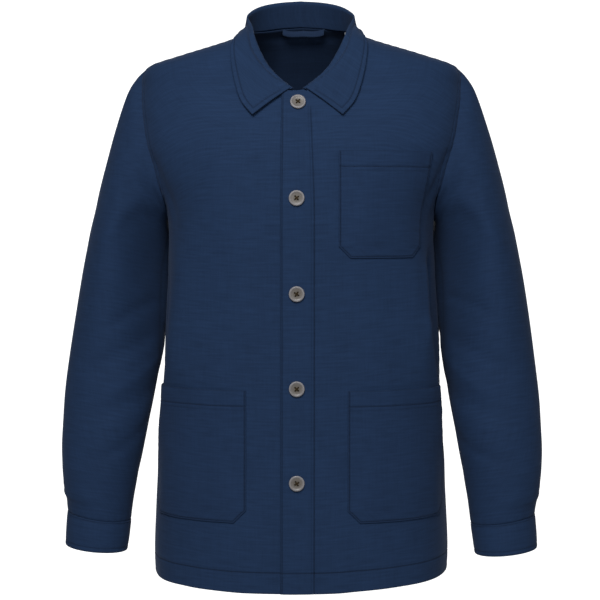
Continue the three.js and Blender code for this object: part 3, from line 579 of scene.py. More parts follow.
def front_panel(side):
    rows = body_rows(FRONT)
    neck_row = ARMPIT_ROW + FRONT["chest"]
    angle, height, inner, outer = panel_surface(FRONT, rows, FRONT_INNER, side)
    angle = apart(FRONT, rows, angle, side)
    x = plain_body(np.abs(angle) * np.sign(side * angle), height)[..., 0]
    lift = overlap_lift(x, side)
    relief, seam = body_relief(FRONT, rows, angle, height, outer)
    free = 1 - smooth_step(neck_row - 0.4, neck_row + 0.2, rows)[:, None]
    relief += free * turned_edge(inner)
    seam = seam + free * line_of(inner, EDGE_STITCH)
    if side > 0:
        strip = sewn_strip(inner, PLACKET_STITCH, 0.3)
        relief += free * (strip + pucker(height, inner, 43, 0.16, 17) + pucker(height, inner, 2, 0.14, 15))
        seam = seam + free * (line_of(inner, PLACKET_STITCH) + 0.4 * line_of(inner, PLACKET_SECOND))
        # Stitch lines darken with thread colour and painted groove shade; a painted shadow darkens the
        # lapped front's free edge.
        seam = np.maximum(seam, 0.8 * free * line_of(inner, 0, 0.8))
    points, normals = body_cloth(angle, height, lift + relief - SEAM_DEPTH * seam)
    return points, normals, seam


def back_half(side):
    """Half of the back, and how many of its rows meet the other half."""
    rows = body_rows(BACK)
    angle, height, inner, outer = panel_surface(BACK, rows, BACK_INNER, side)
    angle = apart(BACK, rows, angle, side)
    relief, seam = body_relief(BACK, rows, angle, height, outer)
    points, normals = body_cloth(angle, height, relief - SEAM_DEPTH * seam)
    centre_rows = int(np.sum(rows <= ARMPIT_ROW + BACK["chest"] + 1e-6))
    points[:centre_rows, 0, 0] = 0
    normals[:centre_rows, 0, 0] = 0
    return points, normals, seam, centre_rows


def sleeve_seam(turn, reach=SLEEVE_REACH, depth=SLEEVE_SINK):
    """Where the sleeve's cloth starts: under the body's edge in front, outside it at the armpit."""
    angle, height = armhole_at(turn)
    point, normal = body_cloth_smooth(angle, height)
    ahead = plain_body(*armhole_at(turn + 1)) - plain_body(*armhole_at(turn - 1))
    away = unit(np.cross(normal, ahead))
    under_arm = smooth_step(96, 142, np.abs(turn))
    beside = mix(reach, 1.1 + 0 * turn, under_arm)
    outside = mix(-depth, 2.3 + 0 * turn, under_arm)
    return point + away * beside[..., None] + normal * outside[..., None]


def body_cloth_smooth(angle, height):
    """The body's cloth with its folds, and the normal that it has with none."""
    normal = surface_normal(plain_body, angle, height)
    return folded_body(angle, height), normal


def ring_point(columns, ring, turn):
    row = read_table(columns, "ring", ring)
    lean = row["lean"] * (1 - np.cos(turn * RADIANS)) / 2
    outer = np.cos((turn - lean) * RADIANS)
    ahead = np.sin(turn * RADIANS)
    depth = np.where(ahead > 0, row["front"], row["back"])
    return np.stack([
        (row["outer_x"] + row["inner_x"]) / 2 + (row["outer_x"] - row["inner_x"]) / 2 * outer,
        row["middle"] - depth * ahead,
        (row["outer_z"] + row["inner_z"]) / 2 + (row["outer_z"] - row["inner_z"]) / 2 * outer,
    ], axis=-1)


def sleeve_fold_height(ring, turn, side):
    total = np.zeros(np.shape(turn))
    for folds in (SLEEVE_FOLDS, SLEEVE_CREASES):
        for row in range(len(folds["rise"])):
            fold = {name: column[row] for name, column in folds.items()}
            if fold["side"] not in (0, side):
                continue
            nearest = turn - 360 * np.round((turn - fold["turn"]) / 360)
            start = (fold["turn"] * TURN_LENGTH, fold["ring"] * RING_LENGTH)
            end = (fold["to_turn"] * TURN_LENGTH, fold["to_ring"] * RING_LENGTH)
            total += fold_rise(nearest * TURN_LENGTH, ring * RING_LENGTH, start, end,
                               fold["width"], fold["rise"], fold["end"])
    fade = smooth_step(0, 0.6, ring)
    around = np.sin(turn * RADIANS)
    waves = cloth_waves(60 * around + 31 * side, ring * RING_LENGTH + 25 * np.cos(turn * RADIANS))
    return total * smooth_step(-0.05, 0.25, ring) + fade * waves


def plain_sleeve(ring, turn):
    fade = 1 - smooth_step(0, ARMHOLE_FADE, ring)
    offset = sleeve_seam(turn) - ring_point(SLEEVE, np.zeros(np.shape(turn)), turn)
    return ring_point(SLEEVE, ring, turn) + offset * fade[..., None]


def hidden_allowance(turns):
    """Rows of the sleeve's cloth that lie under the body's edge, and the normals there."""
    angle, height = armhole_at(turns)
    normal = surface_normal(plain_body, angle, height)
    rows = [sleeve_seam(turns, -3.2, 1.35), sleeve_seam(turns, -1.6, 1.3), sleeve_seam(turns, -0.3, 1.2)]
    return np.array(rows), np.array([normal] * 3)


def tucked_end(turns):
    """Rows of the sleeve's cloth that lie inside the top of the cuff, and the normals there."""
    ring = np.full(turns.shape, float(SLEEVE_END))
    end = plain_sleeve(ring, turns)
    along = unit(end - plain_sleeve(ring - 0.05, turns))
    normal = tube_normal(plain_sleeve, ring, turns, SLEEVE_END)
    rows = [end + along * reach - normal * depth for reach, depth in ((0.6, 0.9), (1.8, 1.75), (4, 1.75))]
    return np.array(rows), np.array([normal] * 3)


def tube_normal(surface, ring, turn, last_ring):
    along = surface(np.minimum(ring + 0.05, last_ring), turn) - surface(np.maximum(ring - 0.05, 0), turn)
    around = surface(ring, turn + 1) - surface(ring, turn - 1)
    return unit(np.cross(around, along))


def sleeve_grid(side):
    turns = np.linspace(-180, 180, 105)[:-1]
    near_start = np.array([0, 0.5, 1.2, 2, 3.2, 5, 7.5, 11]) / RING_LENGTH
    near_end = np.array([9, 6.5, 4.5, 3, 2, 1.2, 0.5, 0]) / LAST_RING_LENGTH
    middle = np.linspace(0.27, SLEEVE_END - 0.38, 136)
    rings = np.concatenate([near_start, middle, SLEEVE_END - near_end])
    ring, turn = np.meshgrid(rings, turns, indexing="ij")
    normals = tube_normal(plain_sleeve, ring, turn, SLEEVE_END)
    rise = sleeve_fold_height(ring, turn, side)
    from_start = ring * RING_LENGTH
    from_end = (SLEEVE_END - ring) * LAST_RING_LENGTH
    head = smooth_step(95, 40, np.abs(turn)) * np.exp(-((from_start - 9) / 9) ** 2)
    rise += head * (0.4 + 0.3 * np.sin(turn / 11) * np.exp(-from_start / 12))
    rise += pucker(turn * 1.4, from_start, 4, 0.35, 15) * smooth_step(0, 3, from_start)
    rise += turned_edge(from_end, 0.5, 1.3) + pucker(turn * 0.8, from_end, 3, 0.3, 11)
    under_seam = line_of((180 - np.abs(turn)) * TURN_LENGTH, 0, 2)
    # Painted shadow: dark lines where the sleeve meets the body and the cuff; the underarm seam darkens
    # with thread and painted groove shade.
    seam = np.maximum(0.35 * line_of(from_start, 0, 1.2), 0.4 * line_of(from_end, 0, 0.9))
    seam = np.maximum(seam, 0.6 * under_seam)
    points = plain_sleeve(ring, turn) + normals * (rise - SEAM_DEPTH * under_seam)[..., None]
    hidden, hidden_normals = hidden_allowance(turns)
    tucked, tucked_normals = tucked_end(turns)
    points = np.concatenate([hidden, points, tucked])
    normals = np.concatenate([hidden_normals, normals, tucked_normals])
    # Painted shade on the rows hidden under the body's edge and inside the cuff.
    covered = np.full(hidden.shape[:2], 0.45)
    seam = np.concatenate([covered, seam, covered])
    points[..., 0] *= side
    normals[..., 0] *= side
    return points, normals, seam


CUFF_LENGTHS = np.array([0, 0.5, 1.1, 1.8, 2.4, 3, 4, 7, 11, 15, 19, 23, 27, 31, 34.5, 35.6, 36.3, 37,
                         37.7, 38.8, 40.2, 41.4, 42.2, CUFF_HEIGHT])


def cuff_grid(side):
    turns = np.linspace(-180, 180, 89)[:-1]
    ring, turn = np.meshgrid(CUFF_LENGTHS * CUFF_END / CUFF_HEIGHT, turns, indexing="ij")
    surface = lambda at_ring, at_turn: ring_point(CUFF, at_ring, at_turn)
    normals = tube_normal(surface, ring, turn, CUFF_END)
    from_top = ring * CUFF_HEIGHT / CUFF_END
    from_end = CUFF_HEIGHT - from_top
    seam = line_of(from_top, CUFF_TOP_STITCH) + line_of(from_end, CUFF_END_STITCH)
    rise = turned_edge(from_top, 0.5, 0.9) + turned_edge(from_end, 0.6, 1.1) - SEAM_DEPTH * seam
    # The stitch lines darken with thread and painted groove shade, and a painted shadow darkens the cuff's
    # top edge.
    seam = np.maximum(0.6 * seam, 0.4 * line_of(from_top, 0, 0.9))
    rise += pucker(turn * 0.8, from_top, 3, 0.16, 12) + pucker(turn * 0.8, from_end, 5, 0.12, 14)
    rise += 0.4 * np.sin(turn * RADIANS * 3 + side) * smooth_step(6, 25, from_top)
    points = surface(ring, turn) + normals * rise[..., None]
    points[..., 0] *= side
    normals[..., 0] *= side
    return points, normals, seam


def clear_of_body(points, clearance):
    """Pushes points of the collar's leaf out until they clear the cloth of the body."""
    for _ in range(3):
        angle = np.arctan2(points[..., 0], -points[..., 1]) / RADIANS
        below, normal = body_cloth_smooth(angle, np.minimum(points[..., 2], NECK_BACK))
        distance = np.sum((points - below) * normal, axis=-1)
        push = np.where(points[..., 2] > NECK_BACK, 0, np.maximum(clearance - distance, 0))
        points = points + normal * push[..., None]
    return points


def collar_section(mark, count):
    """The collar's section at a mark, from the neck seam over its fold to the leaf's edge."""
    row = read_table(COLLAR, "mark", np.array(float(mark)))
    fold = np.array([row["fold_x"], row["fold_y"], row["fold_z"]])
    edge = np.array([row["edge_x"], row["edge_y"], row["edge_z"]])
    angle, height = neckline_at(np.array(float(mark)))
    neck = plain_body(angle, height)
    stand = unit(fold - neck)
    start = neck + stand * COLLAR_RISE
    upward = unit(stand + unit(fold - edge))
    outward = edge - neck
    outward = unit(outward - upward * np.dot(outward, upward))
    centre = fold - upward * FOLD_ROLL
    roll = [centre + FOLD_ROLL * (outward * math.cos(a * RADIANS) + upward * math.sin(a * RADIANS))
            for a in ROLL_ANGLES]
    share = np.linalg.norm(fold - neck) / np.linalg.norm(fold - edge)
    hanging = roll[-1] + (edge - roll[-1]) * share + outward * LEAF_BULGE
    normal = surface_normal(plain_body, angle, height)
    inward = fold - neck
    inward = unit(inward - normal * np.dot(inward, normal))
    seated = neck + normal * COLLAR_CLEARANCE + inward * LEAF_INSET
    free = smooth_step(COLLAR_CLEARANCE, COLLAR_CLEARANCE + LEAF_FREE, np.dot(hanging - neck, normal))
    over_neck = mix(seated, hanging, free)
    leaf = [mix(over_neck, edge, s) + outward * LEAF_BULGE * math.sin(s * math.pi) for s in (0.5, 1)]
    leaf = list(clear_of_body(np.array(leaf), COLLAR_CLEARANCE))
    points = np.array([start, mix(start, roll[0], 0.5), *roll, mix(roll[-1], over_neck, 0.5),
                       over_neck, *leaf])
    return resample(points, count)


def resample(points, lengths):
    """Points of a smooth curve through the given ones, at places from its start to its end."""
    columns = {"at": arc_lengths(points), "x": points[:, 0], "y": points[:, 1], "z": points[:, 2]}
    fine = read_table(columns, "at", np.linspace(0, columns["at"][-1], 200))
    curve = np.stack([fine["x"], fine["y"], fine["z"]], axis=-1)
    walked = arc_lengths(curve)
    return interpolated(curve, lengths(walked[-1]), walked)


def interpolated(values, places, walked):
    return np.stack([np.interp(places, walked, values[:, axis]) for axis in range(3)], axis=-1)


LEAF_EDGE = np.array([0, 0.5, 1.2, 2.2, 3.6, 5, 5.8, 6.5, 7.2, 8.2, 10.5])
COLLAR_COLUMN_PITCH = 3.4


def section_lengths(total):
    start = np.array([0, 0.6, 1.4, 2.6])
    middle = np.linspace(2.6, total - LEAF_EDGE[-1], 26)[1:-1]
    return np.concatenate([start, middle, total - LEAF_EDGE[::-1]])


def collar_marks():
    """Marks of the collar's columns, close together beside its front ends."""
    mark_length = 26
    near_end = COLLAR_START + LEAF_EDGE / mark_length
    rest = np.arange(near_end[-1] + COLLAR_COLUMN_PITCH / mark_length, BACK_MARK - 0.05,
                     COLLAR_COLUMN_PITCH / mark_length)
    return np.concatenate([near_end, rest, [BACK_MARK]])


def collar_grid():
    half = np.array([collar_section(mark, section_lengths) for mark in collar_marks()])
    mirrored = half[:-1][::-1] * np.array([-1, 1, 1])
    grid = np.concatenate([half, mirrored])
    grid[..., 0] -= COLLAR_LEAN * smooth_step(-30, 60, grid[..., 1])
    normals = grid_normals(grid)
    to_start = arc_lengths(grid[:, -1])
    to_end = np.minimum(to_start, to_start[-1] - to_start)[:, None]
    walked = arc_lengths(grid, 1)
    to_edge = walked[:, -1:] - walked
    nearest = np.minimum(to_end + 0 * to_edge, to_edge)
    on_leaf = smooth_step(20, 26, walked)
    seam = on_leaf * line_of(nearest, COLLAR_STITCH)
    relief = turned_edge(nearest, 0.4, 1) + turned_edge(walked, 0.3, 1) - SEAM_DEPTH * seam
    relief += pucker(to_start[:, None], to_edge, 4, 0.25, 14)
    facing = 1 if np.mean((normals * (grid - grid.mean(axis=(0, 1))))[:, -1].sum(-1)) > 0 else -1
    normals = normals * facing
    # Painted shadow along the collar's edges.
    seam = np.maximum(seam, 0.5 * line_of(nearest, 0, 0.8))
    fold_at = np.take_along_axis(walked, np.argmax(grid[..., 2], axis=1)[:, None], axis=1)
    # Painted shade on the stand behind the neck, below its fold, and a darker line 7 mm below the fold.
    behind = smooth_step(-70, -10, grid[..., 1])
    seam = np.maximum(seam, behind * PAINTED_STAND_SHADE * smooth_step(3, 9, fold_at - walked))
    seam += 0.4 * behind * line_of(fold_at - walked, 7)
    return grid + normals * relief[..., None], normals, seam


def grid_normals(grid):
    across = np.gradient(grid, axis=1)
    along = np.gradient(grid, axis=0)
    return unit(np.cross(across, along))


def pocket_outline(shape, height):
    share = (height - shape["bottom"]) / (shape["top"] - shape["bottom"])
    width = mix(shape["bottom_width"], shape["top_width"], share)
    inset = np.maximum(shape["chamfer"] - (height - shape["bottom"]), 0)
    return shape["inner"] + inset, shape["inner"] + width - inset


def pocket_point(shape, side, distance, height, lift):
    """Cloth of a front at a distance from its centre, with the normal there."""
    angle = side * angle_at_distance(distance, height)
    x = plain_body(angle, np.full(angle.shape, float(height)))[..., 0]
    return body_cloth(angle, np.full(angle.shape, float(height)), overlap_lift(x, side) + lift)


def pocket_puff(edge, down, side_edge):
    """How far a pocket stands out inside its edges and below its open top."""
    return 1.3 * smooth_step(3, 30, edge) + 1.2 * smooth_step(50, 0, down) * smooth_step(2, 45, side_edge)


POCKET_SEAT = CLOTH / 2 + 0.45
POCKET_EDGE = np.array([0, 0.5, 1.1, 1.7, 2.2, 2.8, 3.6, 5.5])


def pocket_grid(shape, side):
    depth = shape["top"] - shape["bottom"]
    low = np.concatenate([POCKET_EDGE, np.arange(8.5, shape["chamfer"], 3), [shape["chamfer"]]])
    high = np.array([30, 28, 26, 25, 24, 22, 21, 20, 19, 17.5, 14, 10, 6, 3, 1.5, 0.6, 0])
    middle = np.linspace(shape["chamfer"] + 3, depth - 33, int(depth / 4))
    above = np.concatenate([low, middle, depth - high])
    points = []
    normals = []
    seams = []
    for rise in above:
        height = shape["bottom"] + rise
        left, right = pocket_outline(shape, height)
        inside = np.linspace(POCKET_EDGE[-1], right - left - POCKET_EDGE[-1], 38)[1:-1]
        across = np.concatenate([POCKET_EDGE, inside, right - left - POCKET_EDGE[::-1]])
        side_edge = np.minimum(across, right - left - across)
        slant = np.where(rise < shape["chamfer"], 0.71, 1)
        edge = np.minimum(side_edge * slant, rise)
        down = depth - rise
        seam = line_of(edge, POCKET_EDGE_STITCH, 0.8) + line_of(down, POCKET_HEM_STITCH)
        seam = seam + 0.35 * line_of(down, POCKET_HEM_SECOND)
        lift = POCKET_SEAT + POCKET_CLOTH / 2 + pocket_puff(edge, down, side_edge) - SEAM_DEPTH * seam
        lift = lift + turned_edge(edge, 0.35, 0.9) + turned_edge(down, 0.3, 0.9)
        lift = lift + pucker(across, down, 18, 0.2, 13) + pucker(rise, side_edge, 2, 0.16, 12)
        point, normal = pocket_point(shape, side, left + across, height, lift)
        points.append(point)
        normals.append(normal)
        # The stitch lines darken with thread and painted groove shade; a painted shadow darkens the
        # pocket's outline.
        seams.append(np.maximum(np.minimum(seam, 1), 0.75 * line_of(np.minimum(edge, down), 0, 0.8)))
    return np.array(points), np.array(normals), np.array(seams)


def quads(*corners):
    """Quads from four corners, each a row, a column and a layer."""
    return np.stack([np.stack(np.broadcast_arrays(*corner), axis=-1) for corner in corners], axis=1)


def wall_faces(rows, columns, tube, open_rows):
    """Corner places of a wall's quads on its outside, inside and rims."""
    up = np.arange(rows - 1)
    across = np.arange(columns if tube else columns - 1)
    row, column = (place.ravel() for place in np.meshgrid(up, across, indexing="ij"))
    last = rows - 1
    parts = [
        quads((row, column, 0), (row, column + 1, 0), (row + 1, column + 1, 0), (row + 1, column, 0)),
        quads((row, column, 1), (row + 1, column, 1), (row + 1, column + 1, 1), (row, column + 1, 1)),
        quads((0, across, 0), (0, across, 1), (0, across + 1, 1), (0, across + 1, 0)),
        quads((last, across, 0), (last, across + 1, 0), (last, across + 1, 1), (last, across, 1)),
    ]
    if not tube:
        end = columns - 1
        free = up[open_rows:]
        parts.append(quads((free, 0, 0), (free + 1, 0, 0), (free + 1, 0, 1), (free, 0, 1)))
        parts.append(quads((up, end, 0), (up, end, 1), (up + 1, end, 1), (up + 1, end, 0)))
    return np.concatenate(parts)


def down_body(points):
    """Place along the upright grain of a body panel."""
    return arc_lengths(points * np.array([0, 1, 1]), 0)


def down_sleeve(points):
    """Place along the grain of a sleeve or cuff, which follows the arm."""
    return points @ np.array([0.15 * np.sign(points[0, 0, 0]), -0.086, -0.985])


def wall_arrays(points, normals, seam, thickness, tube=False, open_rows=0, grain=None, inside=0.0):
    """Positions, quads, flat coordinates and darkening values of a closed wall on a grid, for its stitching
    and its painted shade.
    """
    rows, columns = points.shape[:2]
    outer = points + normals * thickness / 2
    inner = points - normals * thickness / 2
    positions = np.stack([outer, inner], axis=2).reshape(-1, 3)
    corners = wall_faces(rows, columns, tube, open_rows)
    faces = 2 * (corners[..., 0] * columns + corners[..., 1] % columns) + corners[..., 2]
    round_points = np.concatenate([points, points[:, :1]], axis=1) if tube else points
    u = arc_lengths(round_points, 1)
    v = grain(round_points) if grain else arc_lengths(round_points, 0)
    uvs = np.stack([u[corners[..., 0], corners[..., 1]], v[corners[..., 0], corners[..., 1]]], axis=-1)
    a, b, c, d = (positions[faces[:, k]] for k in range(4))
    volume = np.sum(a * np.cross(b, c)) + np.sum(a * np.cross(c, d))
    if volume < 0:
        faces = faces[:, ::-1]
        uvs = uvs[:, ::-1]
    # The inner face gets inside added to its darkening: painted shade on the cloth's inner side.
    outside_seam_and_painted_shade = np.clip(seam, 0, 1)
    seam_and_painted_shades = np.stack([outside_seam_and_painted_shade, outside_seam_and_painted_shade + inside], axis=-1).reshape(-1)
    return positions, faces, uvs, seam_and_painted_shades


def add_object(name, mesh):
    thing = bpy.data.objects.new(name, mesh)
    bpy.context.scene.collection.objects.link(thing)
    return thing


def mesh_of(name, positions, faces):
    """A mesh from points in millimetres."""
    mesh = bpy.data.meshes.new(name)
    mesh.from_pydata((np.asarray(positions, float) / 1000).tolist(), [], faces)
    return mesh


def dress(mesh, material):
    """Shades a mesh smooth and gives it its material."""
    mesh.polygons.foreach_set("use_smooth", np.ones(len(mesh.polygons), bool))
    mesh.materials.append(material)
    return mesh


def make_piece(name, parts, material, replaced):
    """A cloth object of one or more walls: positions, quads, flat coordinates and darkening values for
    stitching and painted shade.
    """
    shifts = np.cumsum([0] + [len(part[0]) for part in parts])
    positions, uvs, seam_and_painted_shades = (np.concatenate([part[place] for part in parts]) for place in (0, 2, 3))
    faces = np.concatenate([part[1] + shift for part, shift in zip(parts, shifts)])
    mesh = dress(mesh_of(name, positions, faces.tolist()), material)
    layer = mesh.uv_layers.new(name="cloth")
    layer.data.foreach_set("uv", (uvs.reshape(-1) / 1000).astype(np.float32))
    # The seam attribute darkens the colour. At stitching this is thread and painted groove shade; at edges
    # and inside it is painted shade and shadow.
    seam = mesh.attributes.new("seam", "FLOAT", "POINT")
    seam.data.foreach_set("value", seam_and_painted_shades.astype(np.float32))
    piece = add_object(name, mesh)
    if len(parts) > 1:
        weld(mesh)
    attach(piece, "root")
    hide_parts(replaced)
    return piece


def weld(mesh):
    work = bmesh.new()
    work.from_mesh(mesh)
    bmesh.ops.remove_doubles(work, verts=work.verts, dist=1e-6)
    work.to_mesh(mesh)
    work.free()


def stitch_run(points, normals):
    """Centres, directions and normals of the stitches along a line."""
    walked = arc_lengths(points)
    count = max(int(walked[-1] / STITCH_PITCH), 1)
    places = (np.arange(count) + 0.5) * walked[-1] / count
    ahead = interpolated(points, places + 0.8, walked)
    along = unit(ahead - interpolated(points, places - 0.8, walked))
    return interpolated(points, places, walked), along, unit(interpolated(normals, places, walked))


def thread_arrays(centres, along, upward, length=STITCH_LENGTH, width=STITCH_WIDTH):
    """Short threads, each with two pointed ends sunk in the cloth."""
    beside = unit(np.cross(upward, along))
    sunk = upward * STITCH_HEIGHT * 0.6
    corners = [centres - along * length / 2 - sunk]
    for end in (-0.24, 0.24):
        for across, up in ((-0.5, 0), (0, 0.5), (0.5, 0), (0, -0.5)):
            corners.append(centres + along * length * end + beside * width * across
                           + upward * STITCH_HEIGHT * up)
    corners.append(centres + along * length / 2 - sunk)
    sides = [(1, 2, 6, 5), (2, 3, 7, 6), (3, 4, 8, 7), (4, 1, 5, 8)]
    ends = [(0, 2, 1), (0, 3, 2), (0, 4, 3), (0, 1, 4), (9, 5, 6), (9, 6, 7), (9, 7, 8), (9, 8, 5)]
    base = (np.arange(len(centres)) * len(corners))[:, None, None]
    return (np.stack(corners, axis=1).reshape(-1, 3), (np.array(sides) + base).reshape(-1, 4),
            (np.array(ends) + base).reshape(-1, 3))


def make_threads(name, runs, **sizes):
    """One object of all the stitches of some lines."""
    positions = []
    faces = []
    shift = 0
    for points, normals in runs:
        part, sides, ends = thread_arrays(*stitch_run(points, normals), **sizes)
        positions.append(part)
        faces += (sides + shift).tolist() + (ends + shift).tolist()
        shift += len(part)
    piece = add_object(name, dress(mesh_of(name, np.concatenate(positions), faces), navy_thread))
    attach(piece, "root")
    return piece


class Nodes:
    """Short way to build a material's nodes."""

    def __init__(self, name):
        self.material = bpy.data.materials.new(name)
        self.material.use_nodes = True
        self.tree = self.material.node_tree
        self.shader = self.tree.nodes["Principled BSDF"]

    def add(self, kind, **values):
        node = self.tree.nodes.new(kind)
        for name, value in values.items():
            if name in node.inputs:
                node.inputs[name].default_value = value
            else:
                setattr(node, name, value)
        return node

    def link(self, output, socket):
        self.tree.links.new(output, socket)

    def scaled(self, coordinates, scale):
        mapping = self.add("ShaderNodeMapping")
        mapping.inputs["Scale"].default_value = scale
        self.link(coordinates, mapping.inputs["Vector"])
        return mapping.outputs["Vector"]

    def noise(self, coordinates, scale, detail=3.0):
        node = self.add("ShaderNodeTexNoise")
        node.inputs["Scale"].default_value = 1.0
        node.inputs["Detail"].default_value = detail
        self.link(self.scaled(coordinates, scale), node.inputs["Vector"])
        return node.outputs["Fac"]

    def math(self, operation, first, second):
        node = self.add("ShaderNodeMath", operation=operation)
        for socket, value in zip(node.inputs, (first, second)):
            if isinstance(value, (int, float)):
                socket.default_value = value
            else:
                self.link(value, socket)
        return node.outputs["Value"]


THREAD_PITCH = 0.00055


def cloth_material(name, color, shine=0.06):
    """Plain weave of cotton with uneven threads, by the cloth's own flat coordinates."""
    nodes = Nodes(name)
    flat = nodes.add("ShaderNodeUVMap", uv_map="cloth").outputs["UV"]
    warp = nodes.noise(flat, (1 / THREAD_PITCH, 90, 1), 2)
    weft = nodes.noise(flat, (70, 1 / THREAD_PITCH, 1), 2)
    slub = nodes.noise(flat, (30, 380, 1), 3)
    upright = nodes.noise(flat, (420, 24, 1), 2)
    cloud = nodes.noise(flat, (11, 9, 1), 4)
    threads = nodes.math("ADD", nodes.math("MULTIPLY", warp, 0.45), nodes.math("MULTIPLY", weft, 0.55))
    shade = nodes.math("ADD", nodes.math("MULTIPLY", slub, 0.44), nodes.math("MULTIPLY", upright, 0.18))
    shade = nodes.math("ADD", shade, nodes.math("MULTIPLY", threads, 0.22))
    shade = nodes.math("ADD", shade, nodes.math("MULTIPLY", cloud, 0.16))
    ramp = nodes.add("ShaderNodeValToRGB")
    ramp.color_ramp.elements[0].position = 0.34
    ramp.color_ramp.elements[1].position = 0.66
    ramp.color_ramp.elements[0].color = (*[part * 0.79 for part in color], 1)
    ramp.color_ramp.elements[1].color = (*[part * 1.21 for part in color], 1)
    nodes.link(shade, ramp.inputs["Fac"])
    # The seam attribute darkens the colour: thread and painted groove shade at stitching, and painted shade
    # and shadow at edges, on the inner face and in the collar's stand.
    seam = nodes.add("ShaderNodeAttribute", attribute_name="seam").outputs["Fac"]
    darker = nodes.add("ShaderNodeMix", data_type="RGBA", blend_type="MIX")
    nodes.link(nodes.math("MULTIPLY", seam, 0.42), darker.inputs["Factor"])
    nodes.link(ramp.outputs["Color"], darker.inputs["A"])
    darker.inputs["B"].default_value = (0.001, 0.002, 0.005, 1)
    nodes.link(darker.outputs["Result"], nodes.shader.inputs["Base Color"])
    rough = nodes.math("ADD", nodes.math("MULTIPLY", threads, 0.14), 0.76)
    nodes.link(rough, nodes.shader.inputs["Roughness"])
    relief = nodes.math("ADD", threads, nodes.math("MULTIPLY", slub, 0.5))
    bump = nodes.add("ShaderNodeBump")
    bump.inputs["Strength"].default_value = 0.55
    bump.inputs["Distance"].default_value = 0.00035
    nodes.link(relief, bump.inputs["Height"])
    nodes.link(bump.outputs["Normal"], nodes.shader.inputs["Normal"])
    nodes.shader.inputs["Sheen Weight"].default_value = shine
    nodes.shader.inputs["Sheen Roughness"].default_value = 0.5
    nodes.shader.inputs["Sheen Tint"].default_value = (0.55, 0.68, 1.0, 1)
    nodes.shader.inputs["Specular IOR Level"].default_value = 0.1
    return nodes.material


def thread_material(name, color):
    nodes = Nodes(name)
    place = nodes.add("ShaderNodeTexCoord").outputs["Object"]
    twist = nodes.noise(place, (2600, 2600, 2600), 2)
    ramp = nodes.add("ShaderNodeValToRGB")
    ramp.color_ramp.elements[0].color = (*[part * 0.7 for part in color], 1)
    ramp.color_ramp.elements[1].color = (*[part * 1.3 for part in color], 1)
    nodes.link(twist, ramp.inputs["Fac"])
    nodes.link(ramp.outputs["Color"], nodes.shader.inputs["Base Color"])
    bump = nodes.add("ShaderNodeBump")
    bump.inputs["Strength"].default_value = 0.4
    bump.inputs["Distance"].default_value = 0.0001
    nodes.link(twist, bump.inputs["Height"])
    nodes.link(bump.outputs["Normal"], nodes.shader.inputs["Normal"])
    nodes.shader.inputs["Roughness"].default_value = 0.7
    nodes.shader.inputs["Specular IOR Level"].default_value = 0.15
    return nodes.material


def horn_material(name):
    """Button of horn look: a darker streaked middle, and a pale rim that is a painted highlight."""
    nodes = Nodes(name)
    place = nodes.add("ShaderNodeTexCoord").outputs["Object"]
    parts = nodes.add("ShaderNodeSeparateXYZ")
    nodes.link(place, parts.inputs["Vector"])
    squares = nodes.math("ADD", nodes.math("MULTIPLY", parts.outputs["X"], parts.outputs["X"]),
                         nodes.math("MULTIPLY", parts.outputs["Y"], parts.outputs["Y"]))
    radius = nodes.math("MULTIPLY", nodes.math("POWER", squares, 0.5), 100.0)
    streaks = nodes.noise(place, (130, 420, 130), 5)
    clouds = nodes.noise(place, (240, 240, 240), 4)
    mottled = nodes.math("ADD", nodes.math("MULTIPLY", streaks, 0.34), nodes.math("MULTIPLY", clouds, 0.2))
    shade = nodes.math("ADD", radius, nodes.math("SUBTRACT", mottled, 0.27))
    # Lighter with the distance from the middle: a painted highlight on the rounded rim.
    ramp = nodes.add("ShaderNodeValToRGB")
    ramp.color_ramp.elements[0].position = 0.30
    ramp.color_ramp.elements[0].color = (0.125, 0.110, 0.092, 1)
    ramp.color_ramp.elements[1].position = 0.95
    ramp.color_ramp.elements[1].color = (0.270, 0.262, 0.275, 1)
    middle = ramp.color_ramp.elements.new(0.66)
    middle.color = (0.170, 0.156, 0.146, 1)
    nodes.link(shade, ramp.inputs["Fac"])
    nodes.link(ramp.outputs["Color"], nodes.shader.inputs["Base Color"])
    bump = nodes.add("ShaderNodeBump")
    bump.inputs["Strength"].default_value = 0.15
    bump.inputs["Distance"].default_value = 0.0002
    nodes.link(clouds, bump.inputs["Height"])
    nodes.link(bump.outputs["Normal"], nodes.shader.inputs["Normal"])
    nodes.shader.inputs["Roughness"].default_value = 0.38
    nodes.shader.inputs["Specular IOR Level"].default_value = 0.35
    nodes.shader.inputs["Coat Weight"].default_value = 0.1
    nodes.shader.inputs["Coat Roughness"].default_value = 0.2
    return nodes.material


# One navy for all the cloth; the sleeves and cuffs get a darker copy, a painted shade, the collar's copy is
# a little lighter and the pockets' a little darker.
navy = cloth_material("navy_cloth", (0.0150, 0.0355, 0.0880))
navy_sleeve_painted_darker = cloth_material("navy_sleeve_cloth_painted_darker", (0.0143, 0.0335, 0.0830))
navy_collar = cloth_material("navy_collar_cloth", (0.0152, 0.0358, 0.0880))
navy_pocket = cloth_material("navy_pocket_cloth", (0.0147, 0.0345, 0.0860))
navy_tape = cloth_material("navy_tape", (0.0150, 0.0310, 0.0720), 0.2)
pale_tape = cloth_material("pale_tape", (0.55, 0.57, 0.60), 0.1)
navy_thread = thread_material("navy_thread", (0.0070, 0.0135, 0.0330))
brown_thread = thread_material("brown_thread", (0.045, 0.030, 0.014))
horn = horn_material("horn_button")

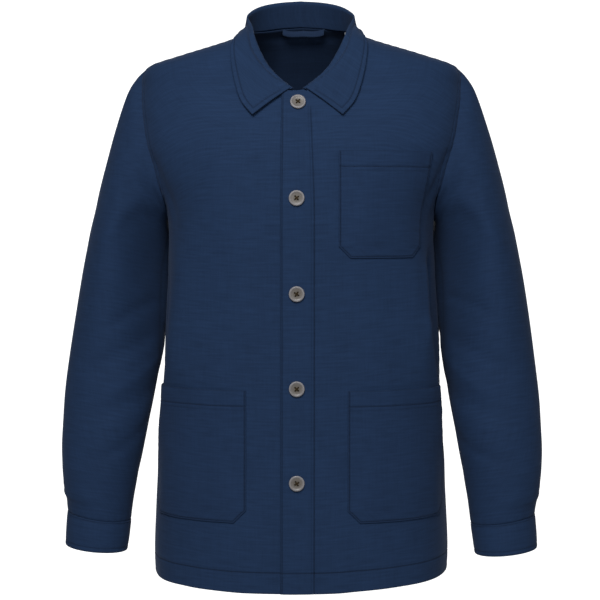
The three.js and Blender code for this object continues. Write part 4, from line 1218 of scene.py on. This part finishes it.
# Cloth pieces in place of the solids
panels = {}
for name, side in SIDES:
    panel = wall_arrays(*front_panel(side), CLOTH, grain=down_body, inside=PAINTED_INSIDE_SHADE)
    panels[name] = make_piece(f"front_{name}_cloth", [panel], navy, f"front_{name}")
halves = []
for side in (1, -1):
    points, normals, seam, centre_rows = back_half(side)
    halves.append(wall_arrays(points, normals, seam, CLOTH, open_rows=centre_rows - 1, grain=down_body,
                              inside=PAINTED_INSIDE_SHADE))
back = make_piece("back_cloth", halves, navy, "back")
cuff_grids = {}
for name, side in SIDES:
    sleeve = wall_arrays(*sleeve_grid(side), CLOTH, tube=True, grain=down_sleeve)
    make_piece(f"sleeve_{name}_cloth", [sleeve], navy_sleeve_painted_darker,
                               f"sleeve_{name}")
    cuff_grids[name] = cuff_grid(side)
    cuff = wall_arrays(*cuff_grids[name], CUFF_CLOTH, tube=True, grain=down_sleeve)
    make_piece(f"cuff_{name}_cloth", [cuff], navy_sleeve_painted_darker, f"cuff_{name}")
collar_points, collar_normals, collar_seam = collar_grid()
collar_wall = wall_arrays(collar_points, collar_normals, collar_seam, COLLAR_CLOTH)
collar = make_piece("collar_cloth", [collar_wall], navy_collar, "collar")
for name, shape, side in POCKETS:
    wall = wall_arrays(*pocket_grid(shape, side), POCKET_CLOTH, grain=down_body)
    make_piece(f"{name}_cloth", [wall], navy_pocket, name)


def stitching():
    """Every line of stitching, by the piece that it is on."""
    runs = {"left": [], "right": [], "back": []}
    top = CLOTH / 2 - 0.3
    for name, side in SIDES:
        heights = np.arange(HEM + 3, -98, 3.0)
        for distance in (EDGE_STITCH, PLACKET_STITCH) if side > 0 else ():
            x = np.full(heights.shape, distance - OVERLAP)
            runs[name].append(body_cloth(angle_at_x(x, heights), heights, OVERLAP_LIFT + top))
        angles = np.arange(-8 if side > 0 else -12, 89.4, 1.0)
        level = np.full(angles.shape, float(HEM + HEM_STITCH))
        lift = overlap_lift(plain_body(angles, level)[..., 0], side) + top
        runs[name].append(body_cloth(side * angles, level, lift))
        turns = np.arange(SHOULDER_TURN, 178, 1.5)
        runs[name].append(beside_armhole(turns, side, top + 0.1))
        turns = np.arange(-178, SHOULDER_TURN, 1.5)
        runs["back"].append(beside_armhole(turns, side, top + 0.1))
        heights = np.arange(HEM + 2, ARMPIT - 8, 3.0)
        angles = side * (90 + SIDE_STITCH / 190 / RADIANS + 0 * heights)
        runs["back"].append(body_cloth(angles, heights, top))
        angles = side * np.arange(90.6, 180.1, 1.0)
        level = np.full(angles.shape, float(HEM + HEM_STITCH))
        runs["back"].append(body_cloth(angles, level, top))
        runs[name].append(shoulder_line(side, top))
    return runs


def beside_armhole(turns, side, lift):
    """The line of topstitching on the body beside the armhole."""
    angle, height = armhole_at(turns)
    normal = surface_normal(plain_body, angle, height)
    ahead = plain_body(*armhole_at(turns + 1)) - plain_body(*armhole_at(turns - 1))
    away = unit(np.cross(normal, ahead))
    moved = plain_body(angle, height) - away * ARMHOLE_STITCH
    angle = np.arctan2(moved[:, 0], -moved[:, 1]) / RADIANS
    return body_cloth(side * angle, moved[:, 2], lift)


def shoulder_line(side, lift):
    """The line of topstitching in front of the shoulder seam."""
    share = np.linspace(0.03, 0.97, 60)
    neck_angle, neck_height = neckline_at(np.array(float(SHOULDER_MARK)))
    hole_angle, hole_height = armhole_at(np.array(float(SHOULDER_TURN)))
    angle = mix(neck_angle, hole_angle, share)
    height = mix(neck_height, hole_height, share)
    seam = plain_body(angle, height)
    normal = surface_normal(plain_body, angle, height)
    along = unit(np.gradient(seam, axis=0))
    forward = np.cross(normal, along)
    forward = -forward * np.sign(forward[:, 1:2])
    moved = seam + forward * SHOULDER_STITCH
    angle = np.arctan2(moved[:, 0], -moved[:, 1]) / RADIANS
    return body_cloth(side * angle, np.minimum(moved[:, 2], NECK_BACK), lift)


def pocket_stitching(shape, side):
    """The stitching round a pocket and along its hem."""
    depth = shape["top"] - shape["bottom"]
    seat = POCKET_SEAT + POCKET_CLOTH - 0.25
    inset = POCKET_EDGE_STITCH
    left_top, right_top = pocket_outline(shape, shape["top"] - 1)
    left_low, right_low = pocket_outline(shape, shape["bottom"] + shape["chamfer"])
    corners = [(left_top + inset, depth - 1), (left_low + inset, shape["chamfer"] + 1),
               (left_low + shape["chamfer"] + 1, inset), (right_low - shape["chamfer"] - 1, inset),
               (right_low - inset, shape["chamfer"] + 1), (right_top - inset, depth - 1)]
    runs = []
    for start, end in zip(corners, corners[1:]):
        runs.append(pocket_run(shape, side, start, end, seat))
    start, end = pocket_outline(shape, shape["top"] - POCKET_HEM_STITCH)
    rise = depth - POCKET_HEM_STITCH
    runs.append(pocket_run(shape, side, (start + 3, rise), (end - 3, rise), seat, depth))
    return runs


def pocket_run(shape, side, start, end, seat, depth=None):
    share = np.linspace(0, 1, 50)
    points = []
    normals = []
    for part in share:
        distance = mix(start[0], end[0], part)
        rise = mix(start[1], end[1], part)
        puff = 0.0
        if depth is not None:
            low, high = pocket_outline(shape, shape["bottom"] + rise)
            side_edge = min(distance - low, high - distance)
            puff = pocket_puff(side_edge, depth - rise, side_edge) - 0.2
        point, normal = pocket_point(shape, side, np.array([distance]), shape["bottom"] + rise, seat + puff)
        points.append(point[0])
        normals.append(normal[0])
    return np.array(points), np.array(normals)


runs = stitching()
stitched = {
    "left": [panels["left"], make_threads("front_left_stitching", runs["left"])],
    "right": [panels["right"], make_threads("front_right_stitching", runs["right"])],
    "back": [back, make_threads("back_stitching", runs["back"])],
}
for name, shape, side in POCKETS:
    make_threads(f"{name}_stitching", pocket_stitching(shape, side))


def lifted_line(points, normals, lift):
    return points + normals * lift, normals


edge_row = -1 - int(np.argmin(np.abs(LEAF_EDGE - COLLAR_STITCH)))
end_column = int(np.argmin(np.abs(LEAF_EDGE - COLLAR_STITCH)))
outside = COLLAR_CLOTH / 2 - 0.1
collar_runs = [lifted_line(collar_points[end_column:-end_column, edge_row],
                           collar_normals[end_column:-end_column, edge_row], outside)]
fold_row = 12
for column in (end_column, -1 - end_column):
    collar_runs.append(lifted_line(collar_points[column, fold_row:edge_row],
                                   collar_normals[column, fold_row:edge_row], outside))
collar_threads = make_threads("collar_stitching", collar_runs)

for name, (points, normals, seam) in cuff_grids.items():
    lines = [lifted_line(np.concatenate([points[row], points[row][:1]]),
                         np.concatenate([normals[row], normals[row][:1]]), CUFF_CLOTH / 2 - 0.05)
             for row in (4, int(np.argmin(np.abs(CUFF_HEIGHT - CUFF_END_STITCH - CUFF_LENGTHS))))]
    make_threads(f"cuff_{name}_stitching", lines)

# Hanger loop and blank tab inside the back of the neck
LOOP_SPAN = 1.02
LOOP_TAPE = 8
LOOP_DROP = 4
TAB_MARK = 9.6
TAB_WIDTH = 5.5
TAB_LENGTH = 10
TAPE_SETBACK = 1.7
TAPE_RISE = 0.3


def back_neck(share):
    """Points of the back neck seam, from -1 at one end of the loop to 1 at the other end."""
    angle, height = neckline_at(BACK_MARK - np.abs(share) * LOOP_SPAN)
    points = plain_body(angle, height)
    points[..., 0] *= np.where(share < 0, -1, 1)
    return points


def hanger_loop():
    share = np.linspace(-1, 1, 61)
    down = np.linspace(0, 1, 9)
    seam = back_neck(share)
    hang = LOOP_DROP * (1 - share ** 4)
    belly = 1.1 * (1 - share ** 2)
    grid = np.empty((len(down), len(share), 3))
    for row, part in enumerate(down):
        roundness = 0.5 * math.sin(part * math.pi)
        grid[row] = seam + np.stack([0 * share, -TAPE_SETBACK - belly * part - roundness + 0 * share,
                                     TAPE_RISE - hang - part * LOOP_TAPE], axis=-1)
    grid[..., 0] *= 0.995
    normals = grid_normals(grid)
    if normals[0, 30, 1] > 0:
        normals = -normals
    return grid, normals


loop_points, loop_normals = hanger_loop()
loop_seam = np.zeros(loop_points.shape[:2])
loop_wall = wall_arrays(loop_points, loop_normals, loop_seam, TAPE_CLOTH)
loop = make_piece("hanger_loop_tape", [loop_wall], navy_tape, "hanger_loop")
loop_runs = [lifted_line(loop_points[row], loop_normals[row], TAPE_CLOTH / 2) for row in (1, 7)]
loop_threads = make_threads("hanger_loop_stitching", loop_runs, length=1.9, width=0.45)


def neck_tab():
    angle, height = neckline_at(np.array(TAB_MARK))
    point = plain_body(angle, height)
    inward = unit(np.array([-point[0], -point[1], 0]))
    across = np.cross([0, 0, 1], inward)
    grid = np.empty((13, 9, 3))
    for row in range(13):
        for column in range(9):
            down = row / 12
            beside = column / 8 - 0.5
            curl = TAPE_SETBACK + 0.5 * down ** 2 - 0.3 * (2 * beside) ** 2 * down
            grid[row, column] = (point + inward * curl + across * beside * TAB_WIDTH
                                 + np.array([0, 0, TAPE_RISE - down * TAB_LENGTH]))
    normals = grid_normals(grid)
    if np.dot(normals[6, 4], inward) < 0:
        normals = -normals
    return grid, normals


tab_points, tab_normals = neck_tab()
tab_wall = wall_arrays(tab_points, tab_normals, np.zeros(tab_points.shape[:2]), TAPE_CLOTH)
tab = make_piece("neck_tab_tape", [tab_wall], pale_tape, "neck_tab")


def lathe(profile, sides):
    """A closed turned body about +Z, with a pole at each end of its profile."""
    turn = np.arange(sides) / sides * 2 * math.pi
    vertices = [(0, 0, profile[0][1])]
    for radius, height in profile[1:-1]:
        vertices += [(radius * math.cos(a), radius * math.sin(a), height) for a in turn]
    vertices.append((0, 0, profile[-1][1]))
    faces = []
    rings = len(profile) - 2
    for side in range(sides):
        beside = (side + 1) % sides
        faces.append((0, 1 + beside, 1 + side))
        for ring in range(rings - 1):
            low = 1 + ring * sides
            high = low + sides
            faces.append((low + side, low + beside, high + beside, high + side))
        top = 1 + (rings - 1) * sides
        faces.append((top + side, top + beside, len(vertices) - 1))
    return vertices, faces


def button_mesh():
    """A dished button with a rounded rim and four holes right through."""
    thick = BUTTON_THICKNESS
    profile = [(0, 0), (4, 0), (8.6, 0), (9.4, 0.35), (9.9, 1.0), (10.0, 1.7), (9.85, 2.4),
               (9.4, 2.95), (8.8, thick), (8.1, 3.15), (7.4, 2.85), (6.8, 2.55), (6.0, 2.4),
               (3.5, 2.35), (0, 2.35)]
    body = add_object("button_blank", mesh_of("button_blank", *lathe(profile, 72)))
    drills = []
    for x in (-BUTTON_HOLE_SPREAD, BUTTON_HOLE_SPREAD):
        for y in (-BUTTON_HOLE_SPREAD, BUTTON_HOLE_SPREAD):
            drill_profile = [(0, -4), (1.05, -4), (1.05, 8), (0, 8)]
            drill = add_object("drill", mesh_of("drill", *lathe(drill_profile, 20)))
            drill.location = (x / 1000, y / 1000, 0)
            cut = body.modifiers.new("hole", "BOOLEAN")
            cut.operation = "DIFFERENCE"
            cut.object = drill
            drills.append(drill)
    bpy.context.view_layer.update()
    cut_mesh = bpy.data.meshes.new_from_object(body.evaluated_get(bpy.context.evaluated_depsgraph_get()))
    for thing in [body, *drills]:
        bpy.data.objects.remove(thing)
    dress(cut_mesh, horn)
    cut_mesh.set_sharp_from_angle(angle=40 * RADIANS)
    return cut_mesh


def cross_threads():
    """Two crossing pairs of sewing threads between the four holes."""
    runs = []
    spread = BUTTON_HOLE_SPREAD
    for flip in (1, -1):
        for offset in (-0.55, 0.55):
            share = np.linspace(-1, 1, 13)
            x = share * spread + offset * 0.7
            y = share * spread * flip - offset * 0.7 * flip
            height = 2.55 + (0.75 if flip > 0 else 1.15) * np.sqrt(np.clip(1 - share ** 6, 0, 1)) - 0.6
            line = np.stack([x, y, height], axis=-1)
            runs.append(line)
    vertices = []
    faces = []
    for line in runs:
        base = len(vertices)
        tangent = unit(np.gradient(line, axis=0))
        for place, point in enumerate(line):
            beside = unit(np.cross([0, 0, 1], tangent[place]))
            upward = np.cross(tangent[place], beside)
            for corner in range(8):
                a = corner / 8 * 2 * math.pi
                offset = (beside * math.cos(a) + upward * math.sin(a)) * 0.46
                vertices.append(point + offset)
        for place in range(len(line) - 1):
            for corner in range(8):
                beside = (corner + 1) % 8
                low = base + place * 8
                faces.append((low + corner, low + beside, low + 8 + beside, low + 8 + corner))
        faces.append(tuple(base + corner for corner in range(7, -1, -1)))
        faces.append(tuple(base + (len(line) - 1) * 8 + corner for corner in range(8)))
    return dress(mesh_of("cross_threads", vertices, faces), brown_thread)


blank = button_mesh()
BUTTON_TURNS = (8, -6, 14, 3, -11)
for place, height in enumerate(BUTTON_HEIGHTS):
    point, normal = body_cloth(np.array([0.0]), np.array([float(height)]),
                               OVERLAP_LIFT + SEWN_CLOTH / 2 + GAP)
    turn = Vector((0, 0, 1)).rotation_difference(Vector(normal[0])).to_matrix()
    spin = Matrix.Rotation(BUTTON_TURNS[place] * RADIANS, 3, "Z")
    matrix = Matrix.Translation(Vector(point[0]) / 1000) @ (turn @ spin).to_4x4()
    button = add_object(f"button_{place + 1}_horn", blank.copy())
    button.matrix_world = matrix
    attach(button, "root")
    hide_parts(f"button_{place + 1}")
    threads = add_object(f"button_{place + 1}_threads", cross_threads())
    threads.matrix_world = matrix
    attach(threads, "root")

# Camera at the photo's place
PHOTO_AZIMUTH = 2.5
PHOTO_ELEVATION = 3.4
CAMERA_DISTANCE = 2.3
FRAME_WIDTH = 0.81
TARGET_SHIFT = -0.002
TARGET_HEIGHT = -0.358
azimuth = PHOTO_AZIMUTH * RADIANS
elevation = PHOTO_ELEVATION * RADIANS
backward = Vector((math.sin(azimuth) * math.cos(elevation), -math.cos(azimuth) * math.cos(elevation),
                   math.sin(elevation)))
rightward = Vector((math.cos(azimuth), math.sin(azimuth), 0))
target = Vector((0, 0, TARGET_HEIGHT)) + rightward * TARGET_SHIFT
camera_data = bpy.data.cameras.new("camera")
camera_data.sensor_width = 36
camera_data.lens = 36 * CAMERA_DISTANCE / FRAME_WIDTH
camera_data.clip_end = 50
camera = bpy.data.objects.new("camera", camera_data)
camera.location = target + backward * CAMERA_DISTANCE
camera.rotation_euler = backward.to_track_quat("Z", "Y").to_euler()
bpy.context.scene.collection.objects.link(camera)
bpy.context.scene.camera = camera

# Studio: a pale floor that curves up into a backdrop, a soft key light and a pale sky
FLOOR_HEIGHT = -1.3
CURVE_START = 1.2
CURVE_RADIUS = 1.2


def backdrop():
    path = [(-1.0, FLOOR_HEIGHT), (CURVE_START, FLOOR_HEIGHT)]
    for step in range(1, 17):
        a = step / 16 * math.pi / 2
        path.append((CURVE_START + CURVE_RADIUS * math.sin(a),
                     FLOOR_HEIGHT + CURVE_RADIUS * (1 - math.cos(a))))
    path.append((CURVE_START + CURVE_RADIUS, 1.5))
    vertices = [(x, y, z) for y, z in path for x in (-1.5, 1.5)]
    faces = [(2 * k, 2 * k + 1, 2 * k + 3, 2 * k + 2) for k in range(len(path) - 1)]
    mesh = bpy.data.meshes.new("backdrop")
    mesh.from_pydata(vertices, [], faces)
    mesh.polygons.foreach_set("use_smooth", np.ones(len(mesh.polygons), bool))
    nodes = Nodes("pale_floor")
    parts = nodes.add("ShaderNodeSeparateXYZ")
    nodes.link(nodes.add("ShaderNodeTexCoord").outputs["Object"], parts.inputs["Vector"])
    glow = nodes.add("ShaderNodeMapRange", interpolation_type="SMOOTHSTEP")
    nodes.link(parts.outputs["Y"], glow.inputs["Value"])
    glow.inputs["From Min"].default_value = 0.5
    glow.inputs["From Max"].default_value = 1.6
    glow.inputs["To Min"].default_value = 0.1
    glow.inputs["To Max"].default_value = 1.0
    nodes.link(glow.outputs["Result"], nodes.shader.inputs["Emission Strength"])
    nodes.shader.inputs["Base Color"].default_value = (0.5, 0.5, 0.5, 1)
    nodes.shader.inputs["Roughness"].default_value = 0.9
    nodes.shader.inputs["Emission Color"].default_value = (1, 1, 1, 1)
    mesh.materials.append(nodes.material)
    piece = bpy.data.objects.new("backdrop", mesh)
    bpy.context.scene.collection.objects.link(piece)


def area_light(name, place, size, power):
    data = bpy.data.lights.new(name, "AREA")
    data.shape = "RECTANGLE"
    data.size = size[0]
    data.size_y = size[1]
    data.energy = power
    light = bpy.data.objects.new(name, data)
    light.location = place
    light.rotation_euler = (Vector(place) - Vector((0, 0, -0.3))).to_track_quat("Z", "Y").to_euler()
    bpy.context.scene.collection.objects.link(light)


backdrop()
area_light("key", (-0.35, -2.5, 1.7), (1.6, 1.2), 74)
area_light("fill", (0.7, -3.0, 0.4), (1.6, 1.6), 16)
world = bpy.data.worlds.new("studio")
bpy.context.scene.world = world
world.use_nodes = True
sky = world.node_tree.nodes["Background"]
sky.inputs["Color"].default_value = (1, 1, 1, 1)
sky.inputs["Strength"].default_value = 0.10
bpy.context.scene.view_settings.view_transform = "Standard"
